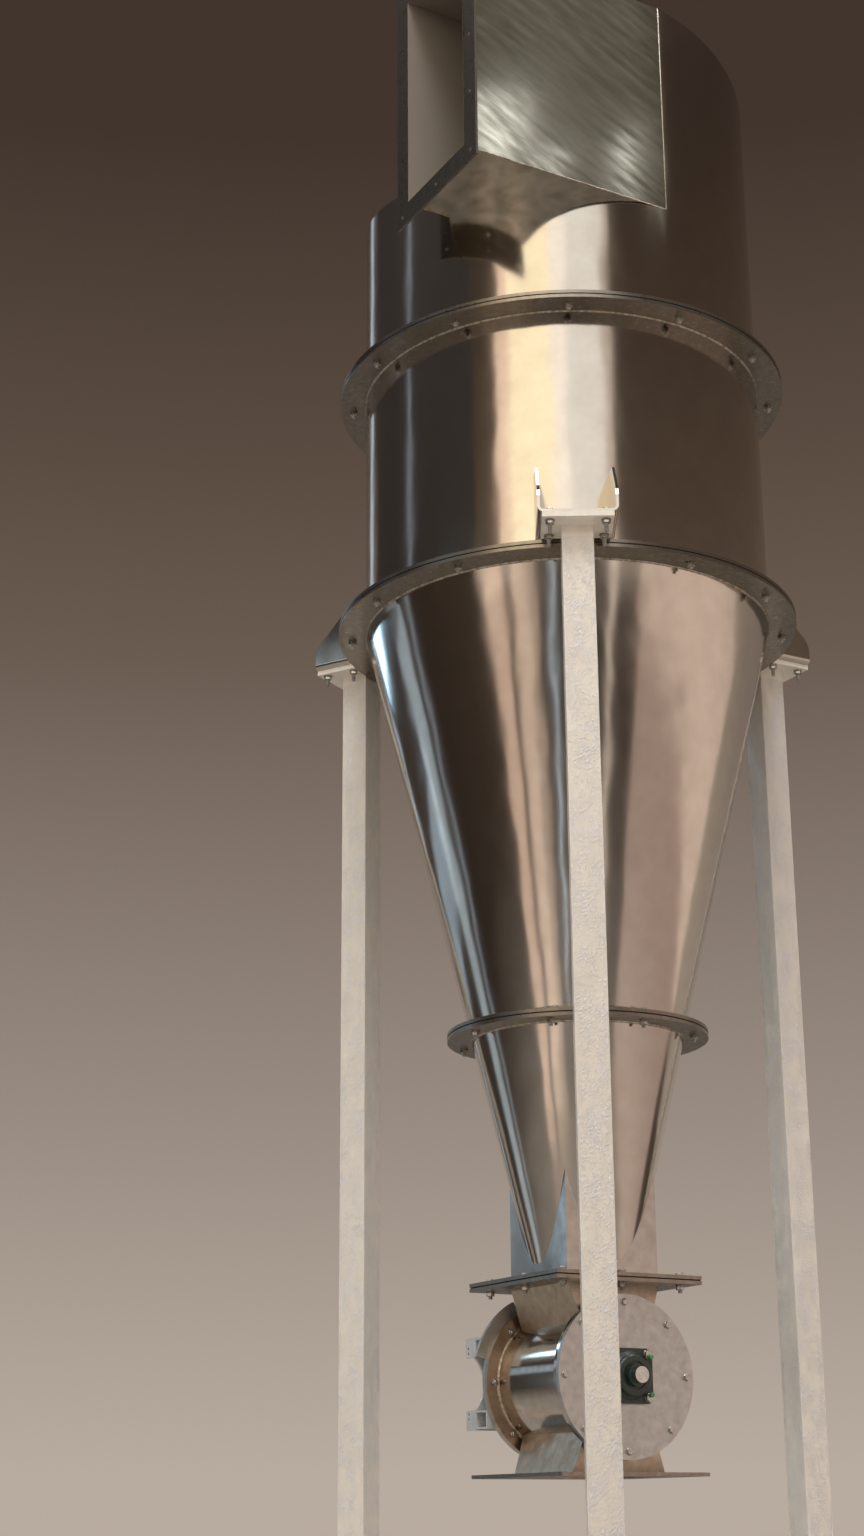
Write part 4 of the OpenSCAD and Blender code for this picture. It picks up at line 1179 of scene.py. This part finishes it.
@dataclass(frozen=True)
class Seam:
    """A straight weld bead with eased ends, in metres."""

    start: tuple[float, float, float]
    end: tuple[float, float, float]
    radius: float = 1.4 * MM

    def add_to(self, shape: bmesh.types.BMesh) -> None:
        """Adds the bead to a shape."""
        way = Vector(self.end) - Vector(self.start)
        radius, length = self.radius, way.length
        line = bmesh.new()
        turn_full(line, [
            (0, 0), (0.7 * radius, 0.3 * radius), (radius, radius), (radius, length - radius),
            (0.7 * radius, length - 0.3 * radius), (0, length)], 10)
        turn = way.to_track_quat("Z", "Y").to_matrix().to_4x4()
        stamp(shape, as_mesh(line, "bead_pattern"), [moved(*self.start) @ turn])


@dataclass
class SeamWelds:
    """Weld beads along the seams of the duct and the shells, a fraction of a millimetre off the sheet."""

    duct: tuple[Seam, ...] = (
        Seam((0.0, -0.4998, 4.600), (0.0, -0.4998, 5.180), 1.5 * MM),
        Seam((-0.0005, -0.4995, 4.5985), (-0.565, -0.4995, 4.5985), 1.6 * MM),
        Seam((-0.4500, -0.2205, 4.5990), (-0.565, -0.2205, 4.5990), 1.6 * MM))
    barrel: tuple[Seam, ...] = (Seam((0.29405, 0.40473, 3.669), (0.29405, 0.40473, 4.285)),)
    head: tuple[Seam, ...] = (Seam((0.35378, 0.35378, 4.304), (0.35378, 0.35378, 4.88)),)
    cone: tuple[Seam, ...] = (Seam((0.0, 0.4985, 3.650), (0.0, 0.2505, 2.654)),)

    def build(self, finishes: Finishes) -> None:
        """Makes the beads one piece for each part of the body.

        Args:
            finishes: The finishes.
        """
        pieces = {
            "duct_welds": self.duct, "barrel_seam_weld": self.barrel, "head_seam_weld": self.head,
            "cone_seam_weld": self.cone}
        for name, seams in pieces.items():
            shape = bmesh.new()
            for seam in seams:
                seam.add_to(shape)
            finish_piece(shape, name, finishes.bead, sharp=60)


@dataclass
class ValveWelds:
    """Full fillets between the valve's body and the rings at its two ends."""

    axis_z: float = 1870 * MM
    ring_y: float = 142 * MM
    body_r: float = 145 * MM
    size: float = 5 * MM
    bulge: tuple[tuple[float, float], ...] = ((0.45, 0.75), (0.75, 0.45))

    def build(self, finishes: Finishes) -> None:
        """Makes the two fillets one piece.

        Args:
            finishes: The finishes.
        """
        ring = bmesh.new()
        turn_full(ring, fillet(self.body_r, 0.0, -1, self.size, self.bulge), 96, closed=True)
        shape = bmesh.new()
        stamp(shape, as_mesh(ring, "fillet_pattern"), [
            moved(0, side * self.ring_y, self.axis_z) @ turned(-90 * side, "X") for side in (-1, 1)])
        finish_piece(shape, "valve_ring_welds", finishes.bead, sharp=60)


@dataclass
class LegFilm:
    """Clear stretch film wound round each leg, pulled into slanting creases.

    The creases are counted per metre across and up the leg, and each leg's are shifted.
    """

    leg_r: float = 605 * MM
    half: float = 35 * MM
    stand_off: float = 0.8 * MM
    corner: float = 4 * MM
    crease: float = 1.6 * MM
    creases_across: float = 40.0
    creases_up: float = 22.0
    slant: float = 60.0
    shift: float = 7.0
    seed: float = 3.7
    finer: float = 2.3
    finer_share: float = 0.4
    low: float = 14 * MM
    high: float = 3640 * MM
    rows: int = 150

    def build(self, finishes: Finishes) -> None:
        """Makes the film of each leg one piece.

        Args:
            finishes: The finishes.
        """
        for i in range(LEGS):
            shape = bmesh.new()
            self._sleeve(shape, i)
            place = turned(360.0 / LEGS * i, "Z") @ moved(self.leg_r, 0, 0)
            bmesh.ops.transform(shape, matrix=place, verts=shape.verts)
            finish_piece(shape, f"leg_film_{i + 1}", finishes.film, sharp=180)

    def _sleeve(self, shape: bmesh.types.BMesh, number: int) -> None:
        """Adds an upright square sleeve with rounded corners and slanting creases, about the Z axis.

        Args:
            shape: The shape that gets it.
            number: The leg's number, which shifts the creases.
        """
        half = self.half + self.stand_off
        bmesh.ops.create_grid(shape, x_segments=1, y_segments=1, size=half)
        bmesh.ops.delete(shape, geom=list(shape.faces), context="FACES_ONLY")
        bmesh.ops.bevel(
            shape, geom=list(shape.verts), offset=self.corner, affect="VERTICES", segments=2, profile=0.5,
            material=-1)
        sides = [edge for edge in shape.edges if edge.calc_length() > half]
        bmesh.ops.subdivide_edges(shape, edges=sides, cuts=5)
        bmesh.ops.translate(shape, verts=shape.verts, vec=(0, 0, self.low))
        ring = list(shape.edges)
        step = (self.high - self.low) / self.rows
        for _ in range(self.rows):
            grown = bmesh.ops.extrude_edge_only(shape, edges=ring)["geom"]
            top = [part for part in grown if isinstance(part, bmesh.types.BMVert)]
            ring = [part for part in grown if isinstance(part, bmesh.types.BMEdge)]
            bmesh.ops.translate(shape, verts=top, vec=(0, 0, step))
        for vert in shape.verts:
            x, y, z = vert.co
            across = Vector((
                x * self.creases_across + number * self.shift, y * self.creases_across + self.seed,
                z * self.creases_up + x * self.slant))
            fine = self.finer_share * max(0.0, noise.noise(across * self.finer))
            vert.co += Vector((x, y, 0)).normalized() * self.crease * (max(0.0, noise.noise(across)) + fine)


@dataclass
class SmoothRoof:
    """The sheet roof of the head, which falls in one smooth helix round the outlet pipe."""

    inner: float = 220.1 * MM
    outer: float = 500 * MM
    high: float = 5180 * MM
    fall: float = 580 * MM
    thick: float = 4 * MM
    first_arc: float = 270.0
    last_arc: float = 78.0

    def build(self, finishes: Finishes) -> None:
        """Makes the roof and lets it stand for the faceted node.

        Args:
            finishes: The finishes.
        """
        shape = self._sector(0.0, self.first_arc)
        rest = self._sector(self.first_arc, self.last_arc)
        bmesh.ops.bisect_plane(
            rest, geom=list(rest.verts) + list(rest.edges) + list(rest.faces),
            plane_co=(0, -self.inner, 0), plane_no=(0, -1, 0), clear_outer=True)
        bmesh.ops.holes_fill(rest, edges=[edge for edge in rest.edges if edge.is_boundary], sides=0)
        stamp(shape, as_mesh(rest, "roof_rest"), [Matrix()])
        piece = finish_piece(shape, "smooth_roof", finishes.by_slot[Slot.SHEET])
        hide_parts("helical_roof")

    def _sector(self, start: float, arc: float) -> bmesh.types.BMesh:
        """Makes one stretch of the helix, in facets of two degrees.

        Args:
            start: Turned angle at its upper end, in degrees after the duct's tangent line.
            arc: Turned angle that it covers, in degrees.

        Returns:
            The shape.
        """
        shape = bmesh.new()
        top = self.high - self.fall * start / 360.0
        low = top - self.thick
        turn_part(
            shape, [(self.inner, low), (self.outer, low), (self.outer, top), (self.inner, top)],
            start - 90.0, arc, int(arc / 2), -self.fall * arc / 360.0)
        return shape


def clear_scene() -> None:
    """Removes what a new Blender file holds."""
    for thing in list(bpy.data.objects):
        bpy.data.objects.remove(thing)


def main() -> None:
    """Builds the camera, the studio and every sub-assembly."""
    logging.basicConfig(level=logging.INFO, format="%(name)s: %(message)s")
    clear_scene()
    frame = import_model()
    bpy.context.scene.view_settings.view_transform = "Standard"
    Viewpoint().build()
    Studio().build()
    finishes = Finishes()
    dress_nodes(frame, finishes)
    LOG.info("dressed %d nodes", len(frame["nodes"]))
    for assembly in (
        SmoothRoof(), FlangeBolts(), ValveBolts(), DriveBolts(), BearingCaps(), BracketBolts(), RoundWelds(),
        SeamWelds(), ValveWelds(), LegFilm(),
    ):
        assembly.build(finishes)


if __name__ == "__main__":
    main()
